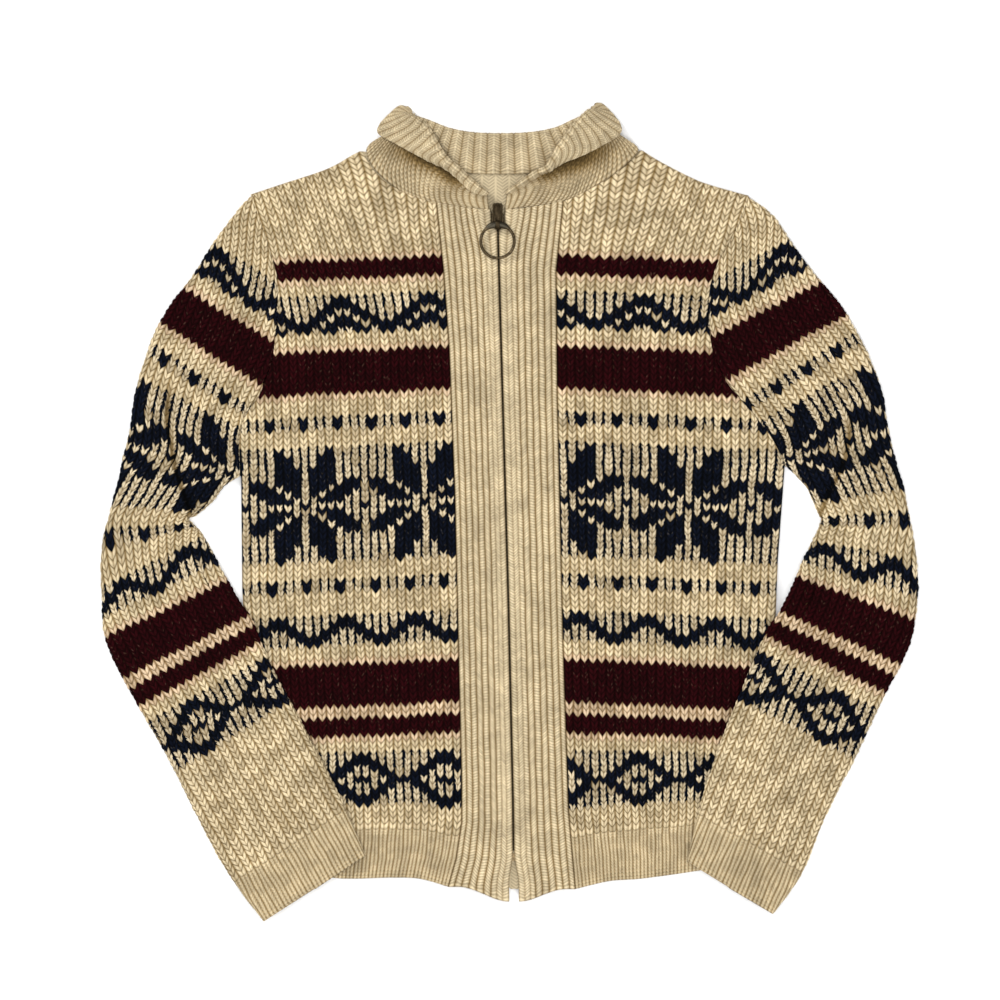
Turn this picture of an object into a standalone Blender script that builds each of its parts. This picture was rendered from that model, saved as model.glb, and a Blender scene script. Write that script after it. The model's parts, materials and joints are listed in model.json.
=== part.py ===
"""Zip-up rib-knit sweater, laid flat on its back.

Metres, +Z up. The hem points to -Y, the collar to +Y, the wearer's right sleeve to -X, and the
underside of the back lies on z = 0. Outlines are short tables in millimetres. Every panel is
one wall of knitted cloth: plain inside, with the ribs of the knit raised outside.
"""

import math

import bmesh
import bpy
from mathutils import Matrix, Vector
from mathutils.geometry import intersect_point_line

MM = 0.001

# Cloth, in millimetres
WALL = 2.6
RIB = 1.0
SEAM = 0.4
LAYER = 0.3
WALE = 8.3
CUTTER_HEIGHTS = (-20.0, 40.0)
PANEL_REACH = (-340.0, 330.0)
PANEL_SPARE = 4.0
HEM_MIDDLE = (0, -336)
FRONT_Z = WALL + LAYER
SLEEVE_LIFT = FRONT_Z + WALL + RIB + LAYER
LIFT_CLEAR = 12.0
LIFT_RUN = 24.0
LIFT_TOP_Y = 0.0
LIFT_FULL_Y = -52.0
FOLD_WIDTH = 9.0
FOLD_FADE = 12.0

# Zip, in millimetres
TAPE_WIDTH = 11.0
TAPE_THICK = 0.6
CHAIN_HALF = 2.2
CHAIN_HIGH = 1.7
ZIP_TOP_Y = 272.0
ZIP_FOOT_Y = -300.0
BAND_Z = FRONT_Z + TAPE_THICK + LAYER
BAND_ARCH = 1.2
ARCH_HALF = 2.8
ARCH_RUN = 4.0
BAND_TOP = [(-64, 269), (-40, 266), (-18, 264), (-4, 264), (14, 266), (36, 269), (47, 270.6)]
BAND_FOOT = -341.0
BAND_ROWS = ([BAND_FOOT, -326.0, -312.0], (-300.0, 230.0, 18),
             [236.0, 241.0, 246.0, 251.0, 257.0, 264.0])
HEM_TURN = 1.2
BAND_PART = 0.75
SLIDER_ROOM = 0.9
PART_FROM_Y = 243.0
PART_RUN = 10.0
HEM_PART = 3.6
HEM_PART_Y = -306.0
HEM_PART_RUN = 24.0
BOX_LONG = 7.0
BOX_HALF = 3.2
SLIDER_WIDTH = 11.0
SLIDER_TOP_Y = 271.0
SLIDER_LOW_Y = 254.0
SLIDER_HIGH_Z = 8.6
SLIDER_WAIST = 0.72
SLIDER_SHOULDER = 9.0
SLIDER_CORNER = 2.0
RING_CENTRE = (-10.5, 238.0)
RING_OUTER = 16.3
RING_WIRE = 1.25
RING_SADDLE = 2.1
RING_Z = 10.4
SADDLE_ARC = 0.8
EYE_WIDTH = 3.6
EYE_ROOM = 0.5
EYE_THICK = 1.4

# Lines on the garment: (y, x) of each seam that runs down it, top to bottom
ZIP_LINE = [(330, -11), (239, -10), (98, -6), (-78, -1), (-254, 3), (-340, 4)]
BAND_LEFT = [(330, -66), (269, -64), (212, -58), (144, -53), (15, -48), (-113, -45), (-236, -42),
             (-273, -42), (-305, -47), (-330, -54)]
BAND_RIGHT = [(330, 48), (269, 47), (212, 41), (103, 42), (-113, 47), (-236, 51), (-264, 52),
              (-332, 58)]
SIDE_LEFT = [(321, -251), (140, -239), (31, -236), (-69, -235), (-148, -230), (-236, -224),
             (-330, -216)]
SIDE_RIGHT = [(321, 254), (140, 245), (40, 242), (-43, 236), (-166, 231), (-236, 226), (-330, 218)]

# Outlines, (x, y): each is shared by the pieces that meet there
SHOULDER_LEFT = [(-119, 321), (-139, 313), (-161, 301), (-203, 287), (-227, 279)]
SHOULDER_RIGHT = [(116, 318), (132, 308), (159, 294), (177, 287), (209, 278)]
ARMHOLE_LEFT = [(-227, 279), (-222, 265), (-213, 240), (-205, 212), (-203, 186), (-205, 155),
                (-209, 130), (-219, 103), (-231, 85), (-237, 62), (-236, 31)]
ARMHOLE_RIGHT = [(209, 278), (205, 264), (194, 240), (182, 218), (175, 193), (175, 162),
                 (179, 138), (190, 114), (208, 92), (229, 66), (242, 40)]
HEM_LEFT = [(-218, -308), (-158, -322), (-105, -322), (-79, -323), (-54, -330)]
HEM_RIGHT = [(219, -307), (159, -317), (115, -323), (88, -325), (58, -332)]
NECK_LEFT = [(-64, 269), (-84, 276), (-97, 284), (-109, 296), (-117, 311), (-119, 321)]
NECK_RIGHT = [(47, 271), (55, 274), (71, 282), (90, 294), (108, 309), (116, 318)]
BACK_NECK = [(104, 312), (87, 305), (58, 299), (22, 296), (-8, 295), (-36, 296), (-65, 299),
             (-93, 307), (-109, 315)]

# Sleeve rows down the arm: the outer edge, then where the row ends, at the armhole's own
# points down to the armpit and then along the underarm seam
SLEEVE_LEFT = [
    ((-233, 273), (-227, 279)), ((-243, 261), (-222, 265)), ((-262, 235), (-213, 240)),
    ((-279, 208), (-205, 212)), ((-293, 190), (-203, 186)), ((-310, 163), (-205, 155)),
    ((-318, 143), (-209, 130)), ((-325, 122), (-219, 103)), ((-329, 106), (-231, 85)),
    ((-334, 80), (-237, 62)), ((-340, 52), (-236, 31)), ((-345, 30), (-250, 20)),
    ((-350, 10), (-268, 2)), ((-356, -14), (-280, -8)), ((-360, -40), (-269, -24)),
    ((-360, -66), (-256, -44)), ((-359, -92), (-245, -66)), ((-354, -118), (-232, -88)),
    ((-341, -146), (-221, -106)), ((-327, -172), (-211, -129)), ((-313, -197), (-198, -156)),
    ((-300, -221), (-185, -181)), ((-287, -246), (-171, -205)), ((-274, -271), (-159, -228)),
    ((-261, -295), (-148, -251)), ((-248, -319), (-138, -273)), ((-233, -343), (-129, -294)),
    ((-217, -360), (-127, -302)),
]
SLEEVE_RIGHT = [
    ((216, 272), (209, 278)), ((231, 262), (205, 264)), ((251, 235), (194, 240)),
    ((266, 214), (182, 218)), ((286, 190), (175, 193)), ((303, 163), (175, 162)),
    ((315, 141), (179, 138)), ((324, 119), (190, 114)), ((330, 98), (208, 92)),
    ((334, 74), (229, 66)), ((340, 48), (242, 40)), ((345, 30), (256, 28)),
    ((350, 8), (267, 10)), ((355, -16), (273, -8)), ((358, -40), (263, -30)),
    ((360, -64), (252, -54)), ((359, -88), (241, -78)), ((355, -112), (231, -96)),
    ((344, -138), (220, -118)), ((331, -164), (210, -140)), ((318, -190), (201, -161)),
    ((306, -215), (192, -183)), ((294, -240), (184, -206)), ((281, -265), (176, -229)),
    ((269, -290), (168, -254)), ((258, -315), (161, -280)), ((244, -338), (155, -300)),
    ((234, -352), (155, -307)),
]

# The fold at each elbow, where the lower arm lies over the upper: x, y, height
ELBOW_LEFT = [(-297, 122, 0.0), (-303, 78, 3.0), (-294, 38, 4.5), (-283, 4, 4.0)]
ELBOW_RIGHT = [(302, 88, 0.0), (296, 46, 3.0), (285, 19, 4.5), (275, -2, 4.0)]

# Collar sections, from the left front round the back to the right front. Each row is
# (seam x, y, half height), (roll x, y, half height), (side of the fold in degrees: 90 on top,
# 0 outwards, -90 below; hollow of the fold), (free edge x, y, z).
COLLAR = [
    ((-18, 265, 0.7), (-19.5, 278, 1.0), (90, 0.6), (-23, 277, 8.6)),
    ((-40, 267, 0.7), (-27, 285, 2.2), (90, 1.6), (-35, 282, 10.2)),
    ((-64, 270, 0.7), (-35, 293, 3.8), (90, 3.0), (-47, 294, 12.2)),
    ((-84, 277, 0.7), (-45, 305, 5.0), (90, 4.0), (-61, 305, 13.2)),
    ((-97, 285, 0.8), (-53, 314, 5.6), (90, 4.4), (-80, 313, 13.4)),
    ((-109, 297, 1.3), (-61, 326, 5.4), (90, 4.2), (-100, 323, 12.8)),
    ((-114, 315, 2.9), (-74, 344, 4.4), (90, 3.0), (-113, 334, 10.6)),
    ((-113, 318, 2.9), (-80, 350, 3.6), (0, 1.4), (-107, 348, 6.2)),
    ((-109, 316, 2.9), (-78, 347, 3.35), (-90, 0.5), (-94, 357, 3.4)),
    ((-93, 308, 2.85), (-70, 342, 3.35), (-90, 0.5), (-80, 340, 2.68)),
    ((-65, 300, 2.85), (-54, 335, 3.35), (-90, 0.5), (-60, 318, 2.68)),
    ((-36, 297, 2.85), (-33, 331, 3.35), (-90, 0.5), (-35, 304, 2.68)),
    ((-8, 296, 2.85), (-8, 330, 3.35), (-90, 0.5), (-8, 301, 2.68)),
    ((22, 297, 2.85), (18, 331, 3.35), (-90, 0.5), (21, 304, 2.68)),
    ((58, 300, 2.85), (40, 335, 3.35), (-90, 0.5), (52, 318, 2.68)),
    ((87, 306, 2.85), (56, 342, 3.35), (-90, 0.5), (72, 340, 2.68)),
    ((104, 313, 2.9), (63, 348, 3.35), (-90, 0.5), (79, 359, 3.4)),
    ((108, 315, 2.9), (62, 351, 3.6), (0, 1.4), (91, 349, 6.2)),
    ((107, 311, 2.9), (50, 342, 4.4), (90, 3.0), (98, 333, 10.6)),
    ((90, 295, 1.3), (42, 326, 5.4), (90, 4.2), (79, 320, 12.8)),
    ((71, 283, 0.8), (36, 315, 5.6), (90, 4.4), (57, 310, 13.4)),
    ((55, 275, 0.7), (29, 306, 5.0), (90, 4.0), (40, 306, 13.2)),
    ((36, 270, 0.7), (19, 296, 3.8), (90, 3.0), (26, 299, 12.2)),
    ((14, 267, 0.7), (8, 286, 2.2), (90, 1.6), (12, 289, 10.2)),
    ((-4, 265, 0.7), (-2.5, 278, 1.0), (90, 0.6), (1, 281, 8.6)),
]
SEAM_MIDDLE = 5.75
ROLL_MIDDLE = 6.45
COLLAR_RIBS = 42
COLLAR_STAND = 4
COLLAR_BEND = 4
COLLAR_FALL = 4
COLLAR_RIB = 0.8
BACK_STATIONS = (9.0, 15.0)
TURN_STATIONS = 2.5
NECK_MIDDLE = (-8.0, 300.0)

CREAM = (0.62, 0.50, 0.33, 1.0)
BRASS = (0.30, 0.23, 0.13, 1.0)
TAPE = (0.45, 0.36, 0.24, 1.0)


def clear_scene():
    for obj in list(bpy.data.objects):
        bpy.data.objects.remove(obj, do_unlink=True)


def material(name, colour, roughness, metallic=0.0):
    finish = bpy.data.materials.new(name)
    finish.use_nodes = True
    shader = finish.node_tree.nodes["Principled BSDF"]
    shader.inputs["Base Color"].default_value = colour
    shader.inputs["Roughness"].default_value = roughness
    shader.inputs["Metallic"].default_value = metallic
    return finish


def add_object(name, bm, finish, origin=(0.0, 0.0, 0.0)):
    bmesh.ops.recalc_face_normals(bm, faces=bm.faces)
    mesh = bpy.data.meshes.new(name)
    bm.to_mesh(mesh)
    bm.free()
    mesh.materials.append(finish)
    mesh.set_sharp_from_angle(angle=math.radians(40))
    obj = bpy.data.objects.new(name, mesh)
    obj.location = origin
    bpy.context.scene.collection.objects.link(obj)
    return obj


def smoothstep(value):
    value = min(1.0, max(0.0, value))
    return value * value * (3.0 - 2.0 * value)


def on_line(line, y):
    """x of a (y, x) line at height y."""
    for (y0, x0), (y1, x1) in zip(line, line[1:]):
        if y >= y1:
            return x0 + (x1 - x0) * (y - y0) / (y1 - y0)
    return line[-1][1]


def down_line(line, top, foot, steps):
    """Points down a (y, x) line, as an outline takes them."""
    heights = [top + (foot - top) * step / steps for step in range(steps + 1)]
    return [(on_line(line, y), y) for y in heights]


def between(stations, position):
    """A table of points read at a fractional row by a smooth curve."""
    last = len(stations) - 1
    row = min(int(position), last - 1)
    t = position - row
    before = Vector(stations[max(row - 1, 0)])
    start = Vector(stations[row])
    end = Vector(stations[row + 1])
    after = Vector(stations[min(row + 2, last)])
    slope_0 = (end - before) / 2.0
    slope_1 = (after - start) / 2.0
    return (start * (2 * t**3 - 3 * t**2 + 1) + slope_0 * (t**3 - 2 * t**2 + t)
            + end * (-2 * t**3 + 3 * t**2) + slope_1 * (t**3 - t**2))


def inset(outline, distance):
    """A closed outline moved inwards, so that neighbours which share its points stay apart."""
    area = sum(a[0] * b[1] - b[0] * a[1] for a, b in zip(outline, outline[1:] + outline[:1]))
    turn = 1.0 if area > 0 else -1.0
    moved = []
    for index, point in enumerate(outline):
        here = Vector(point)
        into = (here - Vector(outline[index - 1])).normalized()
        out = (Vector(outline[(index + 1) % len(outline)]) - here).normalized()
        normal_in = Vector((-into.y, into.x)) * turn
        normal_out = Vector((-out.y, out.x)) * turn
        middle = (normal_in + normal_out).normalized()
        moved.append(here + middle * distance / max(0.35, middle.dot(normal_in)))
    return moved


def slab(name, outline, low, high, finish):
    """A flat piece cut to an outline."""
    bm = bmesh.new()
    corners = [bm.verts.new((x * MM, y * MM, low * MM)) for x, y in outline]
    face = bm.faces.new(corners)
    top = bmesh.ops.extrude_face_region(bm, geom=[face])
    raised = [item for item in top["geom"] if isinstance(item, bmesh.types.BMVert)]
    bmesh.ops.translate(bm, verts=raised, vec=(0.0, 0.0, (high - low) * MM))
    bmesh.ops.triangulate(bm, faces=[f for f in bm.faces if len(f.verts) > 4])
    return add_object(name, bm, finish)


def cloth(columns, rows, place, relief, turned):
    """A wall of knitted cloth: place(column, row) is a point of its plain inside, and
    relief(column, row) is how far the rib stands out of the wall there. A turned sheet has
    its outside on the other face."""
    bm = bmesh.new()
    bmesh.ops.create_grid(bm, x_segments=columns, y_segments=rows, size=0.5)
    offset = bm.verts.layers.float_vector.new("offset")
    where = {}
    for vert in bm.verts:
        column = round((vert.co.x + 0.5) * columns)
        row = round((vert.co.y + 0.5) * rows)
        where[vert] = (column, row)
    for vert, (column, row) in where.items():
        vert.co = Vector(place(column, row)) * MM
    if turned:
        bmesh.ops.reverse_faces(bm, faces=bm.faces)
    bm.normal_update()
    for vert, (column, row) in where.items():
        vert[offset] = vert.normal * (WALL + relief(column, row)) * MM
    bmesh.ops.remove_doubles(bm, verts=bm.verts, dist=0.02 * MM)
    bmesh.ops.dissolve_degenerate(bm, edges=bm.edges, dist=0.01 * MM)
    outside = bmesh.ops.extrude_face_region(bm, geom=list(bm.faces))
    for item in outside["geom"]:
        if isinstance(item, bmesh.types.BMVert):
            item.co += item[offset]
    bmesh.ops.triangulate(bm, faces=bm.faces)
    return bm


def trim(obj, outline):
    """Keeps what lies inside an outline, seen from above."""
    low, high = CUTTER_HEIGHTS
    cutter = slab(obj.name + "_cutter", outline, low, high, obj.data.materials[0])
    cutter.hide_render = True
    cutter.display_type = "WIRE"
    cut = obj.modifiers.new("outline", "BOOLEAN")
    cut.operation = "INTERSECT"
    cut.object = cutter
    cut.solver = "EXACT"


def band_heights():
    """Rows of a band along its closed edge, close together at the slider and the hem."""
    at_hem, (low, high, steps), at_slider = BAND_ROWS
    return at_hem + [low + (high - low) * step / steps for step in range(steps + 1)] + at_slider


def band_top(x):
    """y of a band's upper end, just below the collar's seam."""
    for (x0, y0), (x1, y1) in zip(BAND_TOP, BAND_TOP[1:]):
        if x <= x1:
            return y0 + (y1 - y0) * (x - x0) / (x1 - x0)
    return BAND_TOP[-1][1]


def band_height(side, share, height):
    """The same row further across the band, whose hem and neck both rise towards its outer
    edge."""
    corner = HEM_LEFT[-1][1] if side < 0 else HEM_RIGHT[-1][1]
    low = BAND_FOOT + (corner - BAND_FOOT) * smoothstep(share * HEM_TURN)
    heights = band_heights()
    inner = on_line(ZIP_LINE, heights[-1]) + side * zip_gap(heights[-1])
    outer = on_line(BAND_LEFT if side < 0 else BAND_RIGHT, heights[-1])
    top = band_top(inner + (outer - inner) * share)
    return low + (top - low) * (height - BAND_FOOT) / (heights[-1] - BAND_FOOT)


def front_outline(side):
    """Band seam, neck, shoulder, armhole, side and hem of one front."""
    if side < 0:
        band, neck, shoulder = BAND_LEFT, NECK_LEFT, SHOULDER_LEFT
        armhole, flank, hem = ARMHOLE_LEFT, SIDE_LEFT, HEM_LEFT
    else:
        band, neck, shoulder = BAND_RIGHT, NECK_RIGHT, SHOULDER_RIGHT
        armhole, flank, hem = ARMHOLE_RIGHT, SIDE_RIGHT, HEM_RIGHT
    seam = [(on_line(band, y), y) for y in
            (band_height(side, 1.0, height) for height in band_heights()[1:-1])]
    edge = [(x, y) for y, x in flank if hem[0][1] < y < armhole[-1][1]]
    return neck + shoulder[1:] + armhole[1:] + edge + hem + seam


def back_panel(finish):
    """The back, plain and flat, cut as both fronts together with a higher neck."""
    left = front_outline(-1)
    right = front_outline(1)
    neck_left = left.index(NECK_LEFT[-1])
    neck_right = right.index(NECK_RIGHT[-1])
    hem_left = left.index(HEM_LEFT[-1])
    hem_right = right.index(HEM_RIGHT[-1])
    outline = (left[neck_left:hem_left] + [HEM_MIDDLE]
               + list(reversed(right[neck_right:hem_right])) + BACK_NECK)
    return slab("back", inset(outline, SEAM / 2), 0.0, WALL, finish)


def front_panel(side, finish):
    """One front: ribs run from the hem to the shoulder and are cut by the seams."""
    band = BAND_LEFT if side < 0 else BAND_RIGHT
    flank = SIDE_LEFT if side < 0 else SIDE_RIGHT
    ribs = 22
    columns = 2 * ribs
    foot, top = PANEL_REACH
    rows = 14

    def place(column, row):
        y = foot + (top - foot) * row / rows
        start = on_line(band, y) - side * PANEL_SPARE
        end = on_line(flank, y) + side * PANEL_SPARE
        x = start + (end - start) * column / columns
        return x, y, FRONT_Z

    def relief(column, row):
        return RIB if column % 2 else 0.0

    obj = add_object("front_left" if side < 0 else "front_right",
                     cloth(columns, rows, place, relief, side < 0), finish)
    trim(obj, inset(front_outline(side), SEAM / 2))
    return obj


def zip_gap(y):
    """Half the opening between the bands: closed down the front, parted round the slider."""
    beside_slider = SLIDER_WIDTH / 2 + SLIDER_ROOM - BAND_PART
    at_top = smoothstep((y - PART_FROM_Y) / PART_RUN) * beside_slider
    at_hem = smoothstep((HEM_PART_Y - y) / HEM_PART_RUN) * HEM_PART
    return BAND_PART + at_top + at_hem


def band_panel(side, finish):
    """One front band of seven narrow ribs, over the zip's tape and arched over its teeth."""
    seam = BAND_LEFT if side < 0 else BAND_RIGHT
    ribs = 7
    columns = 2 * ribs
    heights = band_heights()
    rows = len(heights) - 1

    def place(column, row):
        t = column / columns
        y = band_height(side, t, heights[row])
        inner = on_line(ZIP_LINE, y) + side * zip_gap(y)
        outer = on_line(seam, y) - side * SEAM
        x = inner + (outer - inner) * t
        beside = abs(x - on_line(ZIP_LINE, y)) - ARCH_HALF
        arch = BAND_ARCH * smoothstep(1.0 - beside / ARCH_RUN)
        return x, y, BAND_Z + arch

    def relief(column, row):
        return RIB if column % 2 else 0.0

    return add_object("front_band_left" if side < 0 else "front_band_right",
                      cloth(columns, rows, place, relief, side < 0), finish)


def sleeve_lift(x, y):
    """How high the sleeve is carried where it lies over the side of the body."""
    flank = SIDE_LEFT if x < 0 else SIDE_RIGHT
    outside = abs(x) - abs(on_line(flank, y))
    return (SLEEVE_LIFT * smoothstep(1.0 - (outside - LIFT_CLEAR) / LIFT_RUN)
            * smoothstep((LIFT_TOP_Y - y) / (LIFT_TOP_Y - LIFT_FULL_Y)))


def elbow_fold(table, x, y):
    """Height of the soft fold across the elbow at a point."""
    best = 0.0
    here = Vector((x, y))
    for start, end in zip(table, table[1:]):
        a, b = Vector(start[:2]), Vector(end[:2])
        near, share = intersect_point_line(here, a, b)
        share = min(1.0, max(0.0, share))
        near = a + (b - a) * share
        height = start[2] + (end[2] - start[2]) * share
        away = (here - near.to_2d()).length
        best = max(best, height * math.exp(-(away / FOLD_WIDTH) ** 2))
    return best


def sleeve(side, finish):
    """One sleeve: a single sheet folded round at its outer edge, its two long edges meeting
    at the underarm seam, laid flat and carried up over the body below the elbow."""
    table = SLEEVE_LEFT if side < 0 else SLEEVE_RIGHT
    elbow = ELBOW_LEFT if side < 0 else ELBOW_RIGHT
    ribs = 15
    over = 2 * ribs
    bend = 4
    under = 10
    columns = over + bend + under
    rows = len(table) - 1
    radius = LAYER / 2
    middle = WALL + radius
    step = WALE / 2

    def across(row):
        outer, inner = (Vector(point) for point in table[row])
        way = (inner - outer).normalized()
        width = (inner - outer).length - SEAM / 2
        return outer + way * (WALL + RIB), way, width - WALL - RIB

    def place(column, row):
        start, way, width = across(row)
        if column < under:
            reach = width * (1.0 - column / under)
            height = middle - radius
        elif column <= under + bend:
            angle = -math.pi / 2 - math.pi * (column - under) / bend
            point = start + way * (radius * math.cos(angle))
            height = middle + radius * math.sin(angle)
            return point.x, point.y, height + sleeve_lift(point.x, point.y)
        else:
            reach = min(width, (column - under - bend) * step)
            height = middle + radius
        point = start + way * reach
        top = column > under + bend
        fold = elbow_fold(elbow, point.x, point.y) * smoothstep(reach / FOLD_FADE) if top else 0.0
        return point.x, point.y, height + sleeve_lift(point.x, point.y) + fold

    def relief(column, row):
        number = column - under - bend
        _, _, width = across(row)
        if number <= 0 or number * step >= width:
            return 0.0
        return RIB if number % 2 else 0.0

    bm = cloth(columns, rows, place, relief, side < 0)
    return add_object("sleeve_left" if side < 0 else "sleeve_right", bm, finish)


def collar_section(station):
    """The collar at one station: the low point of its stand, the high point where it rolls
    over, its free edge, the direction in which it folds over, and how wide the fold is. It
    folds upwards in front, outwards at the side and down behind the neck."""
    seam = between([row[0] for row in COLLAR], station)
    roll = between([row[1] for row in COLLAR], station)
    fold = between([row[2] + (0.0,) for row in COLLAR], station)
    edge = between([row[3] for row in COLLAR], station)
    away = (roll.to_2d() - Vector(NECK_MIDDLE)).normalized()
    angle = math.radians(min(90.0, max(-90.0, fold.x)))
    side = Vector((away.x * math.cos(angle), away.y * math.cos(angle), math.sin(angle)))
    low = Vector((seam.x, seam.y, SEAM_MIDDLE)) + side * seam.z
    high = Vector((roll.x, roll.y, ROLL_MIDDLE)) + side * roll.z
    low += (high - low).normalized() * SEAM
    return low, high, edge, side, fold.y


def collar(finish):
    """The collar: one ribbed band that stands up from the neck seam and rolls over outwards.
    In front the stand lies below its fall, and behind the neck the fall lies below."""
    columns = 2 * COLLAR_RIBS
    rows = COLLAR_STAND + COLLAR_BEND + COLLAR_FALL

    def place(column, row):
        low, high, edge, side, hollow = collar_section((len(COLLAR) - 1) * column / columns)
        if row <= COLLAR_STAND:
            share = row / COLLAR_STAND
            point = low.lerp(high, share)
            point.z = low.z + (high.z - low.z) * math.sin(share * math.pi / 2)
            return point
        centre = high + side * hollow / 2
        along = (high - low).normalized()
        turn = math.pi * min(1.0, (row - COLLAR_STAND) / COLLAR_BEND)
        point = centre + (along * math.sin(turn) - side * math.cos(turn)) * hollow / 2
        share = max(0.0, (row - COLLAR_STAND - COLLAR_BEND) / COLLAR_FALL)
        return point.lerp(edge, share)

    def relief(column, row):
        station = (len(COLLAR) - 1) * column / columns
        behind = BACK_STATIONS[0] <= station <= BACK_STATIONS[1]
        in_front = (station < BACK_STATIONS[0] - TURN_STATIONS
                    or station > BACK_STATIONS[1] + TURN_STATIONS)
        on_stand = row <= COLLAR_STAND + 1
        shown = behind if on_stand else in_front and row >= COLLAR_STAND + 2
        return COLLAR_RIB if shown and column % 2 else 0.0

    return add_object("collar", cloth(columns, rows, place, relief, False), finish)


def zip_tape(side, finish):
    """Woven tape under one band, from the teeth outwards."""
    line = down_line(ZIP_LINE, ZIP_TOP_Y - 12, ZIP_FOOT_Y, 10)
    near = [(x + side * (CHAIN_HALF + LAYER), y) for x, y in line]
    far = [(x + side * (CHAIN_HALF + TAPE_WIDTH), y) for x, y in line]
    return slab("zip_tape_left" if side < 0 else "zip_tape_right", near + far[::-1],
                FRONT_Z, FRONT_Z + TAPE_THICK, finish)


def zip_chain(finish):
    """The closed row of teeth, as one bar below the slider."""
    line = down_line(ZIP_LINE, SLIDER_LOW_Y - LAYER, ZIP_FOOT_Y, 10)
    left = [(x - CHAIN_HALF, y) for x, y in line]
    right = [(x + CHAIN_HALF, y) for x, y in line]
    return slab("zip_chain", left + right[::-1], FRONT_Z, FRONT_Z + CHAIN_HIGH, finish)


def zip_box(finish):
    """The small box that holds the zip's lower end."""
    x = on_line(ZIP_LINE, ZIP_FOOT_Y)
    top = ZIP_FOOT_Y - LAYER
    low = top - BOX_LONG
    left, right = x - BOX_HALF, x + BOX_HALF
    outline = [(left, top), (left, low), (right, low), (right, top)]
    return slab("zip_box", outline, FRONT_Z, FRONT_Z + CHAIN_HIGH, finish)


def zip_slider(finish):
    """The slider's body with the arched bridge that carries the ring."""
    x = RING_CENTRE[0]
    half = SLIDER_WIDTH / 2
    waist = half * SLIDER_WAIST
    shoulder = SLIDER_LOW_Y + SLIDER_SHOULDER
    crown = SLIDER_TOP_Y - SLIDER_CORNER
    flat = half - SLIDER_CORNER
    left = [(x - waist, SLIDER_LOW_Y), (x - half, shoulder), (x - half, crown),
            (x - flat, SLIDER_TOP_Y)]
    right = [(x + flat, SLIDER_TOP_Y), (x + half, crown), (x + half, shoulder),
             (x + waist, SLIDER_LOW_Y)]
    outline = left + right
    body = slab("zip_slider", outline, BAND_Z, SLIDER_HIGH_Z, finish)
    join = body.modifiers.new("eye", "BOOLEAN")
    join.operation = "UNION"
    join.object = slider_eye(x, finish)
    join.solver = "EXACT"
    return body


def slider_eye(x, finish):
    """The hoop on top of the slider that the ring hangs in, in the plane of the zip."""
    y, z = ring_axis()
    hole = RING_SADDLE + EYE_ROOM
    segments = 14
    bm = bmesh.new()
    bmesh.ops.create_circle(bm, segments=segments, radius=hole * MM)
    edges = list(bm.edges)
    ring = bmesh.ops.extrude_edge_only(bm, edges=edges)
    outer = [item for item in ring["geom"] if isinstance(item, bmesh.types.BMVert)]
    wider = (hole + EYE_THICK) / hole
    bmesh.ops.scale(bm, verts=outer, vec=(wider, wider, 1.0))
    side = bmesh.ops.extrude_face_region(bm, geom=list(bm.faces))
    moved = [item for item in side["geom"] if isinstance(item, bmesh.types.BMVert)]
    bmesh.ops.translate(bm, verts=moved, vec=(0.0, 0.0, EYE_WIDTH * MM))
    upright = Matrix.Rotation(math.radians(90), 3, "Y")
    bmesh.ops.rotate(bm, verts=bm.verts, matrix=upright)
    bmesh.ops.translate(bm, verts=bm.verts, vec=((x - EYE_WIDTH / 2) * MM, y * MM, z * MM))
    obj = add_object("slider_eye", bm, finish)
    obj.hide_render = True
    obj.display_type = "WIRE"
    return obj


def ring_axis():
    """(y, z) of the line that the ring swings on, through the slider's eye."""
    return RING_CENTRE[1] + RING_OUTER - RING_SADDLE, RING_Z


def ring_pull(finish):
    """The round wire pull, thicker where it hangs in the eye. Its origin is on its hinge."""
    axis_y, axis_z = ring_axis()
    mean = RING_OUTER - RING_SADDLE
    around = 40
    sides = 8
    bm = bmesh.new()
    section = bmesh.ops.create_circle(bm, segments=sides, radius=MM)
    bmesh.ops.rotate(bm, verts=section["verts"], matrix=Matrix.Rotation(math.pi / 2, 3, "X"))
    bmesh.ops.translate(bm, verts=section["verts"], vec=(mean * MM, 0.0, 0.0))
    bmesh.ops.spin(bm, geom=bm.verts[:] + bm.edges[:], angle=2 * math.pi, steps=around,
                   axis=(0.0, 0.0, 1.0), cent=(0.0, 0.0, 0.0), use_merge=True)
    for vert in bm.verts:
        angle = math.atan2(vert.co.y, vert.co.x)
        from_eye = abs(math.remainder(angle - math.pi / 2, 2 * math.pi))
        wire = RING_WIRE + (RING_SADDLE - RING_WIRE) * smoothstep(1.0 - from_eye / SADDLE_ARC)
        centre = Vector((math.cos(angle), math.sin(angle), 0.0)) * mean * MM
        vert.co = centre + (vert.co - centre) * wire
        vert.co.y -= mean * MM
    origin = (RING_CENTRE[0] * MM, axis_y * MM, axis_z * MM)
    obj = add_object("ring_pull", bm, finish, origin)
    obj.data.shade_smooth()
    return obj


def main():
    clear_scene()
    back_panel(material("back_knit", CREAM, 0.92))
    for side, name in ((-1, "left"), (1, "right")):
        front_panel(side, material("front_knit_" + name, CREAM, 0.92))
        band_panel(side, material("band_knit_" + name, CREAM, 0.9))
        sleeve(side, material("sleeve_knit_" + name, CREAM, 0.92))
        zip_tape(side, material("zip_tape_" + name, TAPE, 0.8))
    collar(material("collar_knit", CREAM, 0.92))
    zip_chain(material("chain_brass", BRASS, 0.4, 1.0))
    zip_box(material("box_brass", BRASS, 0.4, 1.0))
    zip_slider(material("slider_brass", BRASS, 0.4, 1.0))
    ring_pull(material("ring_brass", BRASS, 0.35, 1.0))


main()
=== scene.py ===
import json
import math

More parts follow.
